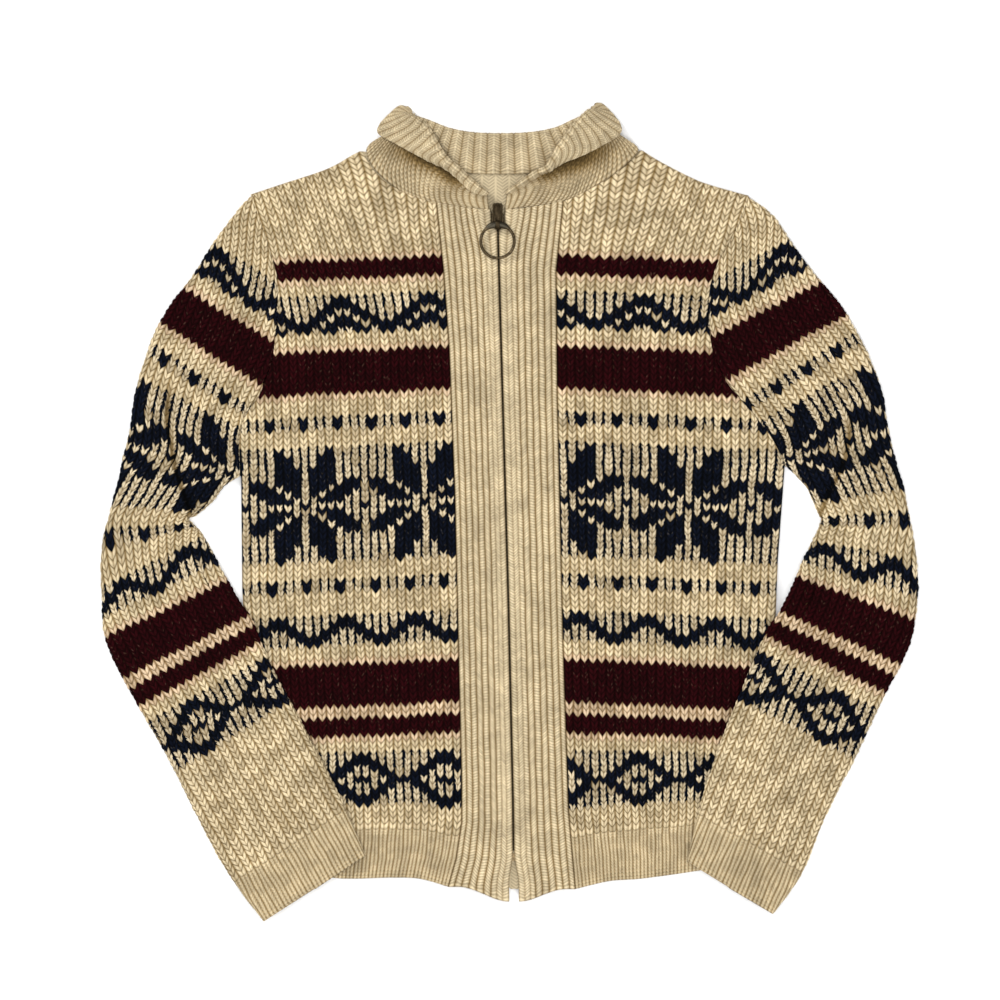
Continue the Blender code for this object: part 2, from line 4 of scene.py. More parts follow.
import bmesh
import bpy
import numpy as np
from bpy.props import FloatProperty, FloatVectorProperty, IntProperty, PointerProperty
from bpy.types import Operator, Panel, PropertyGroup
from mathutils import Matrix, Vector


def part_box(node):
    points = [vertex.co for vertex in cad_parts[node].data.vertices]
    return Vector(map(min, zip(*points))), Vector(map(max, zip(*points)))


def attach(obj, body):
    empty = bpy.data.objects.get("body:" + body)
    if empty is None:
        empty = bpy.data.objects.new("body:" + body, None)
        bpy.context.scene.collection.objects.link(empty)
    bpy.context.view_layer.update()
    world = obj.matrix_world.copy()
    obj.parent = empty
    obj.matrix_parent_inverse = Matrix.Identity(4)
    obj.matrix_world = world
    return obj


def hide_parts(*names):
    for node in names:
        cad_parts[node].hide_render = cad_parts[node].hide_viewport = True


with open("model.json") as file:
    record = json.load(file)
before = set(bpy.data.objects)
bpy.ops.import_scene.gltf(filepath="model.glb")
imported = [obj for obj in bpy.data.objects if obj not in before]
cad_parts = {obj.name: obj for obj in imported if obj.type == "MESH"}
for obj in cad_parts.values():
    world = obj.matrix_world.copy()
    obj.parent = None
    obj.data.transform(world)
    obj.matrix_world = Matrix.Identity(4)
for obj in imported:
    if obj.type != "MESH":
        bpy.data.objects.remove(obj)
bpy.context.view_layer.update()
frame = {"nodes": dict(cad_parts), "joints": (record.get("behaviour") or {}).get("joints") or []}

bl_info = {
    "name": "Zip-up sweater",
    "version": (1, 0, 0),
    "blender": (4, 5, 0),
    "location": "View3D > Sidebar > Sweater",
    "description": "Knits a zip-up sweater laid flat: panels, bands, collar, sleeves and zip",
    "category": "Object",
}

MM = 0.001

# Heights of the layers, in millimetres, read from the frame
BACK_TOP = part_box("back")[1].z / MM
FRONT_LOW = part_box("front_left")[0].z / MM
FRONT_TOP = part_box("front_left")[1].z / MM
BAND_TOP_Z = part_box("front_band_left")[1].z / MM

# Thickness of the cloth and height of its stitches, in millimetres, and how much higher a
# stitch's legs stand at its sides, in stitches
WALL = 2.6
RELIEF = 1.5
LEAN = 0.9

# Depth of shade in the grooves, where 0 is the darkest hollow and 1 the top of a stitch
GROOVE_SHADE = 0.15

# Sleeve: how high it is carried over the body's side, half its height where it lies flat, and
# how far its edge stays inside its outline
SLEEVE_LIFT = 6.8
SLEEVE_MIDDLE = 3.25
EDGE_ROOM = 0.1

# How edges round over: how far in from the edge, and how deep
SEWN_EDGE = (0.8, 0.3)
FREE_EDGE = (3.2, 1.7)
BACK_EDGE = (3.0, 1.0)
ZIP_EDGE = (2.0, 1.3)
COLLAR_EDGE = (2.2, 0.8)

# How far the back and the bands run on under the collar, and the fronts under the sleeves
UNDER_COLLAR = 2.5
BAND_UNDER_COLLAR = 1.2
UNDER_SLEEVE = 0.7

# Slider and ring pull: middle line, top of the slider's body, radius of the eye that its
# bridge makes round the ring, and the ring's mean radius, wire and saddle
SLIDER_X = -10.5
SLIDER_TOP = 8.6
EYE_RADIUS = 3.75
RING_MEAN = 14.75
RING_WIRE = 1.3
SADDLE_TALL = 2.85
SADDLE_THICK = 2.0
SADDLE_REACH = 50.0

# Half the slit between the bands where the zip is closed, the height where they begin to part
# round the slider, and how far that takes
ZIP_CLOSED = 0.8
ZIP_PARTS = 246.0
ZIP_PART_RUN = 8.0

# Inside of the back, seen through the neck: from ridge to ridge and from row to row
INSIDE_PITCH = 12.1
INSIDE_ROW = 2.9

# Rows of the narrow rib at the hem and cuffs
RIB_ROWS = 8.0

# Points woven for each wale or rib, and for each stitch
PANEL_GRAIN = (8, 4)
BACK_GRAIN = (4, 1)
BAND_GRAIN = (5, 2)
COLLAR_GRAIN = (4, 2)

# Wales on each side of a sleeve's middle line, and the plain columns that close its underside
SLEEVE_HALF = 10
UNDERSIDE = 8

# Rows of the front, the back and the collar, the height of the body's first row, and the
# bands' ends
FRONT_ROWS = 124
BACK_ROWS = 126
COLLAR_ROWS = 34
BODY_FOOT = -323.0
BAND_HEAD = 266.0
BAND_FOOT = -343.0

# The collar: stations of its table that lie in front, from each end of it, its height and the
# width of a rib in millimetres, the room that its seam takes off the rounding, the shares of
# its height where the stand stops showing and where the roll begins and ends, and the middle
# of the neck that it turns away from
FRONT_STATIONS = 8
COLLAR_TALL = 90.0
COLLAR_PITCH = 5.0
SEAM_ROOM = 1.2
STAND_SHARE = 0.45
ROLL_SHARE = (0.44, 0.56)
NECK_MIDDLE = (-8.0, 300.0)

# What the maroon beside it and the navy carried behind it leave of the cream
BLED = (0.96, 0.88, 0.91)
GREYED = (0.88, 0.89, 0.93)

# Linear colour of the ring's saddle
PEWTER = (0.048, 0.042, 0.030)

# Lights: place and size in metres, and power in watts
LIGHTS = (("Sky", (0.0, -0.15, 2.6), 2.4, 45.0), ("Window", (-1.7, 1.9, 1.7), 0.9, 52.0),
          ("Fill", (1.2, -2.0, 1.8), 1.6, 34.0))

# The photo: millimetres to a pixel, pixels to a side and the pixel over the garment's origin.
# The camera's height is in metres.
PHOTO_SCALE = 0.88
PHOTO_SIDE = 1000
PHOTO_MIDDLE = (509.5, 511.5)
CAMERA_HEIGHT = 6.0

# How far the body's rows sag at its sides, how far out that begins and what it takes, and the
# height up to which they follow the hem
SAG = 8.0
SAG_FROM = 45.0
SAG_RUN = 180.0
HEM_RUN = 150.0

# The fronts' wales run outward above this height, more so higher up
FAN_FROM = 130.0
FAN_BEND = 0.0010

# Seams that run down the garment, as (y, x) in millimetres
ZIP_LINE = [(330, -11), (239, -10), (98, -6), (-78, -1), (-254, 3), (-342, 4)]
BAND_SEAM = {
    -1: [(330, -66), (269, -64), (212, -58), (144, -53), (15, -48), (-113, -45), (-236, -42),
         (-273, -42), (-305, -47), (-330, -54)],
    1: [(330, 48), (269, 47), (212, 41), (103, 42), (-113, 47), (-236, 51), (-264, 52),
        (-332, 58)],
}
FLANK = {
    -1: [(330, -251), (140, -239), (31, -236), (-69, -235), (-148, -230), (-236, -224),
         (-330, -216)],
    1: [(330, 254), (140, 245), (40, 242), (-43, 236), (-166, 231), (-236, 226), (-330, 218)],
}

# Outlines, as (x, y) in millimetres
SHOULDER = {
    -1: [(-131, 317), (-139, 313), (-161, 301), (-203, 287), (-227, 279)],
    1: [(116, 318), (132, 308), (159, 294), (177, 287), (209, 278)],
}
ARMHOLE = {
    -1: [(-227, 279), (-222, 265), (-213, 240), (-205, 212), (-203, 186), (-205, 155),
         (-209, 130), (-219, 103), (-231, 85), (-237, 62), (-236, 31)],
    1: [(209, 278), (205, 264), (194, 240), (182, 218), (175, 193), (175, 162), (179, 138),
        (190, 114), (208, 92), (229, 66), (242, 40)],
}
HEM = {
    -1: [(-218, -308), (-158, -322), (-105, -322), (-79, -323), (-54, -330)],
    1: [(219, -307), (159, -317), (115, -323), (88, -325), (58, -332)],
}
NECK = {
    -1: [(-64, 271), (-84, 277), (-99, 284), (-111, 292), (-120, 301), (-127, 312),
         (-131, 317)],
    1: [(47, 273), (55, 276), (71, 284), (92, 297), (110, 312), (116, 318)],
}
BACK_NECK = [(108, 312), (87, 305), (58, 299), (22, 296), (-8, 295), (-36, 296), (-65, 299),
             (-93, 307), (-112, 315)]
SLEEVE_OUTER = {
    -1: [(-227, 279), (-243, 261), (-262, 235), (-279, 208), (-299, 182), (-314, 155),
         (-323, 129), (-330, 103), (-334, 76), (-340, 50), (-346, 23), (-353, -3), (-359, -29),
         (-360, -55), (-359, -82), (-357, -109), (-347, -135), (-333, -161), (-303, -214),
         (-276, -267), (-247, -320), (-216, -361)],
    1: [(209, 278), (232, 261), (250, 235), (270, 208), (292, 182), (308, 155), (320, 129),
        (329, 103), (333, 76), (339, 50), (347, 23), (352, -3), (357, -29), (360, -58),
        (359, -82), (355, -109), (345, -135), (331, -161), (306, -214), (279, -267),
        (257, -320), (232, -354)],
}
SLEEVE_INNER = {
    -1: [(-236, 31), (-249, 23), (-259, 10), (-274, -3), (-281, -7), (-271, -17), (-264, -29),
         (-249, -56), (-235, -81), (-226, -93), (-212, -128), (-198, -155), (-183, -183),
         (-167, -213), (-147, -252), (-126, -302)],
    1: [(242, 40), (259, 23), (266, 10), (271, -3), (273, -9), (264, -29), (257, -43),
        (246, -69), (236, -88), (226, -104), (210, -139), (192, -183), (179, -219),
        (168, -254), (155, -307)],
}

# Rows of stitches across a sleeve, from the shoulder to the cuff: a point near the outer
# edge and one near the inner edge that one row joins, in millimetres
SLEEVE_ROWS = {
    -1: [((-226, 280), (-223, 278)), ((-243, 261), (-218, 245)), ((-262, 235), (-205, 199)),
         ((-279, 210), (-204, 163)), ((-299, 182), (-208, 130)), ((-315, 151), (-227, 94)),
         ((-330, 103), (-238, 63)), ((-338, 63), (-235, 33)), ((-345, 29), (-259, 10)),
         ((-353, -6), (-281, -7)), ((-358, -36), (-275, -14)), ((-359, -69), (-269, -23)),
         ((-356, -108), (-250, -59)), ((-311, -196), (-203, -135)), ((-295, -224), (-197, -164)),
         ((-215, -361), (-126, -302))],
    1: [((211, 279), (208, 277)), ((232, 261), (205, 248)), ((250, 235), (187, 201)),
        ((266, 213), (175, 167)), ((289, 185), (181, 132)), ((306, 155), (207, 96)),
        ((329, 105), (235, 63)), ((337, 63), (242, 40)), ((344, 29), (261, 13)),
        ((352, -3), (273, -7)), ((355, -34), (263, -19)), ((359, -67), (256, -39)),
        ((356, -110), (247, -66)), ((315, -195), (210, -141)), ((300, -226), (198, -173)),
        ((232, -354), (154, -308))],
}

# The fold at each elbow, where the lower arm lies over the upper: x, y, height in millimetres
ELBOW = {
    -1: [(-297, 124, 0.0), (-302, 100, 2.8), (-303, 78, 4.6), (-299, 56, 5.2),
         (-296, 38, 5.4), (-283, 0, 5.4)],
    1: [(302, 92, 0.0), (301, 70, 2.8), (297, 46, 4.6), (285, 19, 5.2), (275, -2, 5.4)],
}

# Soft hollows and swells of the cloth as it lies: x, y, length, width, turn in degrees, height
BODY_CREASES = {
    -1: [(-205, 60, 60, 16, 60, 1.2), (-110, 40, 110, 30, 80, 0.5),
         (-150, 230, 60, 18, -20, 0.7), (-190, -40, 80, 22, 78, 0.7),
         (-90, -220, 90, 26, 84, -0.5), (-170, -290, 50, 14, 20, 0.6)],
    1: [(205, 50, 60, 16, -60, 1.2), (120, 60, 110, 30, -82, 0.5),
        (140, 225, 60, 18, 20, 0.7), (190, -50, 80, 22, -76, 0.7),
        (95, -210, 90, 26, -84, -0.5), (170, -285, 50, 14, -20, 0.6)],
}
SLEEVE_CREASES = {
    -1: [(-250, 120, 46, 9, 62, -0.9), (-262, 70, 40, 8, 66, 0.8),
         (-245, 190, 60, 16, 50, 0.8), (-318, 0, 50, 14, -82, 0.8),
         (-330, -80, 40, 12, -70, 0.7), (-262, -110, 46, 10, -30, -0.8),
         (-238, -190, 60, 18, -60, 0.6), (-190, -270, 50, 16, -58, 0.5)],
    1: [(245, 120, 46, 9, -62, -0.9), (262, 68, 40, 8, -66, 0.8),
        (240, 190, 60, 16, -50, 0.8), (318, 0, 50, 14, 82, 0.8),
        (330, -80, 40, 12, 70, 0.7), (262, -110, 46, 10, 30, -0.8),
        (245, -190, 60, 18, 60, 0.6), (205, -270, 50, 16, 58, 0.5)],
}

# Collar sections from the left front round the back to the right front, in millimetres: seam
# x, y and half height; roll x, y and half height; side of the fold in degrees (90 on top, -90
# below) and its hollow; free edge x, y, z
COLLAR = [
    (-18, 265, 0.7, -19.5, 278, 1.0, 90, 0.6, -23, 277, 8.6),
    (-40, 267, 0.7, -28, 284, 2.2, 90, 1.6, -35, 282, 10.2),
    (-64, 270, 0.7, -37, 291, 3.8, 90, 3.0, -47, 294, 12.2),
    (-84, 276, 0.7, -47, 300, 5.0, 90, 4.0, -61, 305, 13.2),
    (-99, 283, 0.8, -57, 308, 5.6, 90, 4.4, -80, 313, 13.4),
    (-118, 299, 1.3, -64, 318, 5.4, 90, 4.2, -100, 323, 12.8),
    (-126, 314, 2.9, -74, 336, 4.4, 90, 3.0, -116, 333, 10.6),
    (-121, 322, 2.9, -84, 344, 3.6, 0, 1.4, -107, 348, 6.2),
    (-113, 320, 2.9, -82, 345, 3.35, -90, 0.5, -94, 357, 3.4),
    (-93, 308, 2.85, -72, 342, 3.35, -90, 0.5, -80, 340, 2.68),
    (-65, 300, 2.85, -54, 335, 3.35, -90, 0.5, -60, 318, 2.68),
    (-36, 297, 2.85, -33, 331, 3.35, -90, 0.5, -35, 304, 2.68),
    (-8, 296, 2.85, -8, 330, 3.35, -90, 0.5, -8, 301, 2.68),
    (22, 297, 2.85, 18, 331, 3.35, -90, 0.5, 21, 304, 2.68),
    (58, 300, 2.85, 40, 335, 3.35, -90, 0.5, 52, 318, 2.68),
    (87, 306, 2.85, 56, 342, 3.35, -90, 0.5, 72, 340, 2.68),
    (104, 313, 2.9, 67, 347, 3.35, -90, 0.5, 79, 359, 3.4),
    (111, 319, 2.9, 67, 348, 3.6, 0, 1.4, 91, 349, 6.2),
    (111, 313, 2.9, 61, 341, 4.4, 90, 3.0, 98, 333, 10.6),
    (92, 296, 1.3, 51, 326, 5.4, 90, 4.2, 79, 320, 12.8),
    (71, 283, 0.8, 44, 316, 5.6, 90, 4.4, 57, 310, 13.4),
    (55, 275, 0.7, 35, 301, 5.0, 90, 4.0, 40, 306, 13.2),
    (36, 270, 0.7, 24, 296, 3.8, 90, 3.0, 26, 299, 12.2),
    (14, 267, 0.7, 10, 287, 2.2, 90, 1.6, 12, 289, 10.2),
    (-4, 265, 0.7, -2.5, 278, 1.0, 90, 0.6, 1, 281, 8.6),
]

# How far the collar's wales run towards the back of the neck, in stations of that table: for
# each station from the front end, times a gain at each share of the collar's height
COLLAR_DRIFT = [0.0, 0.85, 1.4, 2.1, 2.0, 1.6, 1.1, 0.7, 0.4, 0.1, 0.0]
DRIFT_UP = [(0.0, 0.0), (0.3, 1.0), (0.44, 0.9), (0.56, 0.8), (1.0, 0.1)]

# The small roll below the fall, (x, y), how far the painted shadow in the hollow above it
# reaches, and the heights that the half heights in the table are measured from
SECOND_ROLL = {
    -1: [(-72, 290), (-58, 288), (-46, 288)],
    1: [(20, 286), (38, 287), (52, 290), (66, 297)],
}
HOLLOW_SHADOW_REACH = {-1: 10.5, 1: 13.5}
SEAM_MIDDLE = 5.75
ROLL_MIDDLE = 6.45

# Charts, one character a stitch: N navy, M maroon, . ground. The top row is knitted last.
ZIGZAG = ["N......N",
          "NN....NN",
          ".NN..NN.",
          "..NNNN..",
          "...NN..."]
LOZENGE_HALF = ["....NN....",
                "...NNNN...",
                "..NN..NN..",
                ".NN....NN."]
LOZENGES = LOZENGE_HALF + ["NN..NN..NN"] + LOZENGE_HALF[::-1]
STAR_HALF = ["...N.....N....",
             "...NN...NN....",
             "...NN...NN....",
             "...NNN.NNN....",
             "...NNN.NNN....",
             "NN.NNN.NNN.NN.",
             "NNN.NN.NN.NNN.",
             ".NNN.N.N.NNN..",
             "..NNN...NNN..."]
STARS = STAR_HALF + ["......N......N"] + STAR_HALF[::-1]
CHEVRONS = ["....NN....",
            "...NNNN...",
            "..NN..NN..",
            ".NN.NN.NN.",
            "NN.NNNN.NN",
            "N.NN..NN.N"]
TICKS = ["N...",
         "N..."]
STRIPE = ["M"]

# Bands of colour, (first row above the hem or cuff, rows, chart)
BODY_BANDS = [(12, 9, LOZENGES), (24, 3, STRIPE), (29, 7, STRIPE), (39, 5, ZIGZAG),
              (48, 2, TICKS), (53, 19, STARS), (75, 2, TICKS), (81, 7, STRIPE),
              (91, 6, CHEVRONS), (100, 3, STRIPE)]
SLEEVE_BANDS = [(28, 9, LOZENGES), (40, 3, STRIPE), (45, 7, STRIPE), (55, 5, ZIGZAG),
                (64, 2, TICKS), (69, 19, STARS), (91, 2, TICKS), (97, 7, STRIPE),
                (107, 6, CHEVRONS)]
YARNS = {".": 0, "M": 1, "N": 2}


class SweaterYarn(PropertyGroup):
    cream: FloatVectorProperty(
        name="Cream", description="Ground yarn of the panels, bands and collar",
        subtype="COLOR", size=3, min=0.0, max=1.0, default=(0.645, 0.53, 0.34))
    maroon: FloatVectorProperty(
        name="Maroon", description="Yarn of the stripes",
        subtype="COLOR", size=3, min=0.0, max=1.0, default=(0.019, 0.0012, 0.0022))
    navy: FloatVectorProperty(
        name="Navy", description="Yarn of the figures",
        subtype="COLOR", size=3, min=0.0, max=1.0, default=(0.0030, 0.0048, 0.0112))
    brass: FloatVectorProperty(
        name="Aged brass", description="Metal of the zip",
        subtype="COLOR", size=3, min=0.0, max=1.0, default=(0.20, 0.145, 0.080))


class SweaterKnit(PropertyGroup):
    wale: FloatProperty(
        name="Wale", description="Distance from one rib of the panels to the next",
        subtype="DISTANCE", unit="LENGTH", min=0.004, max=0.02, default=0.0077)
    stitch: FloatProperty(
        name="Stitch", description="Height of one stitch of the panels",
        subtype="DISTANCE", unit="LENGTH", min=0.002, max=0.02, default=0.0053)
    band_stitch: FloatProperty(
        name="Band stitch", description="Height of one stitch of the front bands",
        subtype="DISTANCE", unit="LENGTH", min=0.001, max=0.01, default=0.0025)
    front_wales: IntProperty(
        name="Front wales", description="Ribs across one front", min=8, max=60, default=25)
    band_ribs: IntProperty(
        name="Band ribs", description="Ribs across one front band", min=4, max=15, default=9)
    collar_ribs: IntProperty(
        name="Collar ribs", description="Ribs round the collar", min=20, max=160, default=108)


def smoothstep(value):
    """0 below 0 and 1 above 1, with a soft rise between."""
    value = np.clip(value, 0.0, 1.0)
    return value * value * (3.0 - 2.0 * value)


def on_line(line, y):
    """x of a (y, x) line at heights y."""
    table = np.array(sorted(line), float)
    return np.interp(y, table[:, 0], table[:, 1])


def over(outline, x):
    """y of an (x, y) outline over places x."""
    table = np.array(sorted(outline), float)
    return np.interp(x, table[:, 0], table[:, 1])


def beside(outline, y):
    """x of an (x, y) outline at heights y."""
    return on_line(turned(outline), y)


def turned(line, below=math.inf):
    """The points of a line with their two numbers changed over, up to a first number."""
    return [(b, a) for a, b in line if a < below]


def part_of(count):
    """How far a count has gone since its last whole number: across a wale or up a stitch."""
    return count - np.floor(count)


def first_row(stitch):
    """0 on the edge where the first row lies straight, 1 a row and a half above."""
    return np.clip(stitch / 1.5, 0.0, 1.0)


def curve_at(table, t):
    """Rows of a table read at fractional rows t by a smooth curve."""
    table = np.array(table, float)
    last = len(table) - 1
    t = np.clip(t, 0.0, last)
    row = np.minimum(t.astype(int), last - 1)
    f = (t - row)[:, None]
    before, start = table[np.maximum(row - 1, 0)], table[row]
    end, after = table[row + 1], table[np.minimum(row + 2, last)]
    slope_0, slope_1 = (end - before) / 2.0, (after - start) / 2.0
    return (start * (2 * f**3 - 3 * f**2 + 1) + slope_0 * (f**3 - 2 * f**2 + f)
            + end * (-2 * f**3 + 3 * f**2) + slope_1 * (f**3 - f**2))


def smooth_outline(points, steps=5):
    """An open outline with rounder corners."""
    t = np.linspace(0.0, len(points) - 1.0, (len(points) - 1) * steps + 1)
    return [tuple(p) for p in curve_at(points, t)]


def distance_to(points, outline):
    """Distance of each point to the nearest stretch of an open outline."""
    points = np.asarray(points, float)[:, :2]
    best = np.full(len(points), 1e9)
    for a, b in zip(outline, outline[1:]):
        a, b = np.array(a[:2], float), np.array(b[:2], float)
        run = b - a
        share = np.clip(((points - a) @ run) / max(run @ run, 1e-9), 0.0, 1.0)
        near = a + share[:, None] * run
        best = np.minimum(best, np.hypot(*(points - near).T))
    return best


def reach(origins, directions, outline):
    """How far each ray runs before it crosses a closed outline."""
    best = np.full(len(origins), 1e9)
    closed = list(outline) + [outline[0]]
    for a, b in zip(closed, closed[1:]):
        a, b = np.array(a, float), np.array(b, float)
        run = b - a
        cross = directions[:, 0] * run[1] - directions[:, 1] * run[0]
        cross = np.where(np.abs(cross) < 1e-9, 1e-9, cross)
        to = a - origins
        along = (to[:, 0] * run[1] - to[:, 1] * run[0]) / cross
        share = (to[:, 0] * directions[:, 1] - to[:, 1] * directions[:, 0]) / cross
        hit = (share >= -1e-6) & (share <= 1 + 1e-6) & (along > 0)
        best = np.where(hit & (along < best), along, best)
    return np.where(best > 1e8, 0.0, best)


def rolled(distance, radius, depth):
    """How far a surface drops near its edge, as cloth rounds over there."""
    inside = np.clip(1.0 - distance / radius, 0.0, 1.0)
    return depth * (1.0 - np.sqrt(np.clip(1.0 - inside * inside, 0.0, 1.0)))


def jitter(wale, stitch, seed):
    """A steady random value from -1 to 1 for each stitch."""
    value = np.sin(wale * 12.9898 + stitch * 78.233 + seed * 37.719) * 43758.5453
    return 2.0 * (value - np.floor(value)) - 1.0


def narrow_rib(stitch):
    """1 in the narrow rib of a hem or cuff, 0 in the wide rib above it."""
    return 1.0 - smoothstep((stitch - RIB_ROWS + 1.5) / 3.0)


def knit_relief(wale, stitch, seed):
    """Height from 0 to 1 of a chain of V stitches: two round legs with a furrow between them,
    a notch where each stitch rises out of the one below, and a deep groove beside the wale.
    Near the hem each wale is two narrow ribs of smaller, slanting stitches."""
    from_middle = np.abs(part_of(wale) - 0.5)
    ridge = np.clip((0.5 - from_middle) / 0.21, 0.0, 1.0) ** 1.3
    furrow = 1.0 - 0.66 * np.exp(-(from_middle / 0.09) ** 2)
    leg = 0.32 + 0.68 * np.sin(np.pi * part_of(stitch)) ** 0.6
    uneven = 0.96 + 0.26 * jitter(np.floor(wale), np.floor(stitch), seed)
    wide = ridge * furrow * leg * uneven
    half = part_of(2.0 * wale)
    groove = np.where(from_middle > 0.25, 1.0, 0.8)
    narrow = 1.0 - groove * (1.0 - np.sin(np.pi * half) ** 1.3)
    narrow = narrow * (0.5 + 0.4 * np.sin(np.pi * part_of(2.0 * stitch + 0.8 * half)))
    return wide + (narrow - wide) * narrow_rib(stitch)


def unevenness(wale, stitch, seed):
    """Small wanderings of a hand-fed machine knit: shifts across and along, in millimetres."""
    phase = 3.1 * jitter(np.round(wale), 0.0 * wale, seed)
    across = 0.36 * np.sin(stitch * 0.83 + phase) + 0.30 * np.sin(stitch * 0.29 + 2.0 * phase)
    along = 0.35 * np.sin(stitch * 0.61 + wale * 0.9) + 0.3 * np.sin(wale * 0.47 + seed)
    return across, along


def lean(wale, stitch, share):
    """How much higher a stitch's legs stand at its sides than at its middle, in stitches."""
    return share * np.abs(2.0 * part_of(wale) - 1.0) * first_row(stitch)


def panel_lean(wale, stitch):
    """The lean of a panel's stitches, halved where the hem's narrow ribs are."""
    wide = lean(wale, stitch, LEAN)
    narrow = lean(2.0 * wale, stitch, 0.5 * LEAN)
    return wide + (narrow - wide) * narrow_rib(stitch)


def yarn_of(bands, wale, stitch, start=0):
    """Chart lookup: the yarn of each stitch, and whether navy is carried behind that row."""
    yarn = np.zeros(len(wale), int)
    carried = np.zeros(len(wale), bool)
    for first, rows, chart in bands:
        inside = (stitch >= first) & (stitch < first + rows)
        for row in range(rows):
            line = chart[(rows - 1 - row) % len(chart)]
            codes = np.array([YARNS[letter] for letter in line])
            here = inside & (stitch == first + row)
            yarn[here] = codes[(wale[here] + start) % len(line)]
            if "N" in line:
                carried |= here
    return yarn, carried


def tones(bands, wale, stitch, u, row, seed, start):
    """A colour for each face: its yarn, uneven from stitch to stitch and face to face. Beside
    the wales the navy that is carried behind shows, and red has bled into the cream rows next
    to the maroon."""
    yarns = bpy.context.scene.sweater_yarn
    palette = np.array([tuple(yarns.cream), tuple(yarns.maroon), tuple(yarns.navy)])
    yarn, carried = yarn_of(bands, wale, stitch, start)
    colour = palette[yarn]
    by_stitch = jitter(wale, stitch, seed)[:, None]
    by_patch = jitter(np.floor(wale / 2), np.floor(stitch / 4.0), seed + 3)[:, None]
    by_face = jitter(wale * 8 + u * 8, row, seed + 4)
    colour = colour * (1.0 + 0.11 * by_stitch + 0.05 * by_patch)
    dark = yarn > 0
    colour = np.where(dark[:, None], colour * (1.0 + 0.2 * by_face[:, None]), colour)
    beside_red = np.zeros(len(wale), bool)
    for step in (-1, 1):
        beside_red |= yarn_of(bands, wale, stitch + step, start)[0] == YARNS["M"]
    bled = ~dark & beside_red
    colour = np.where(bled[:, None], colour * np.array(BLED), colour)
    greyed = ~dark & carried
    colour = np.where(greyed[:, None], colour * np.array(GREYED), colour)
    side = np.abs(u - 0.5)
    gap = (side > 0.36) | ((side > 0.28) & (by_face > 0.2))
    fleck = gap & greyed & (by_stitch[:, 0] > -0.9)
    colour = np.where(fleck[:, None], palette[2] * (1.5 + 0.8 * by_face[:, None]), colour)
    stray = dark & (by_face > 0.95)
    return np.where(stray[:, None], colour + palette[0] * 0.045, colour)


def weave_grid(columns, rows):
    """A grid whose points remember their column and row."""
    bm = bmesh.new()
    bmesh.ops.create_grid(bm, x_segments=columns, y_segments=rows, size=0.5)
    across = bm.verts.layers.float.new("column")
    along = bm.verts.layers.float.new("row")
    for vert in bm.verts:
        vert[across] = round((vert.co.x + 0.5) * columns)
        vert[along] = round((vert.co.y + 0.5) * rows)
    # Depth in the stitch, which the wool material paints as shade in the grooves
    bm.verts.layers.float.new("depth")
    cell_column = bm.faces.layers.int.new("cell_column")
    cell_row = bm.faces.layers.int.new("cell_row")
    for face in bm.faces:
        face.smooth = True
        middle = face.calc_center_median()
        face[cell_column] = int((middle.x + 0.5) * columns)
        face[cell_row] = int((middle.y + 0.5) * rows)
    column = np.array([vert[across] for vert in bm.verts])
    row = np.array([vert[along] for vert in bm.verts])
    return bm, column, row


def weave(wales, stitches, grain, more=0):
    """A grid of wales and stitches, with more columns past the last wale, and each point's
    place in wales and stitches."""
    per_wale, per_stitch = grain
    bm, column, row = weave_grid(wales * per_wale + more, stitches * per_stitch)
    return bm, column / per_wale, row / per_stitch


def set_points(bm, points, depth):
    """Moves the points to their places, and keeps for each a depth that the wool paints as
    shade: how high it stands in the stitch, or a painted shade given outright.
    """
    layer = bm.verts.layers.float["depth"]
    for vert, point, high in zip(bm.verts, points * MM, depth):
        vert.co = point
        vert[layer] = GROOVE_SHADE + (1.0 - GROOVE_SHADE) * high


def drop_outside(bm, outside):
    """Deletes the faces whose corners were all moved onto the outline, and joins what fell
    together there."""
    for vert, gone in zip(bm.verts, outside):
        vert.tag = bool(gone)
    lost = [face for face in bm.faces if all(vert.tag for vert in face.verts)]
    bmesh.ops.delete(bm, geom=lost, context="FACES")
    edge = [vert for vert in bm.verts if vert.tag]
    bmesh.ops.remove_doubles(bm, verts=edge, dist=0.02 * MM)


def parts(made, kind):
    """The points, or the edges, among what a bmesh operator made."""
    return [item for item in made["geom"] if isinstance(item, kind)]


def close_under(bm, low):
    """Turns the sheet's rim down to a flat underside at height low and closes it."""
    rim = [edge for edge in bm.edges if edge.is_boundary]
    down = bmesh.ops.extrude_edge_only(bm, edges=rim)
    for vert in parts(down, bmesh.types.BMVert):
        vert.co.z = low * MM
    made = bmesh.ops.contextual_create(bm, geom=parts(down, bmesh.types.BMEdge))
    for face in made["faces"]:
        face.normal_update()
    cut = bmesh.ops.triangulate(bm, faces=made["faces"])
    for face in cut["faces"]:
        face.smooth = False
    return cut["faces"]


def paint(mesh, name, colour):
    """Keeps a colour for each face."""
    layer = mesh.attributes.new(name, "FLOAT_COLOR", "FACE")
    flat = np.ones((len(mesh.polygons), 4), np.float32)
    flat[:, :3] = colour
    layer.data.foreach_set("color", flat.ravel())


def read_layer(mesh, name, count, kind):
    values = np.zeros(count, kind)
    mesh.attributes[name].data.foreach_get("value", values)
    return values


def new_object(name, bm, material):
    """Makes a mesh an object of the scene."""
    mesh = bpy.data.meshes.new(name)
    bm.to_mesh(mesh)
    bm.free()
    mesh.materials.append(material)
    obj = bpy.data.objects.new(name, mesh)
    bpy.context.scene.collection.objects.link(obj)
    return obj


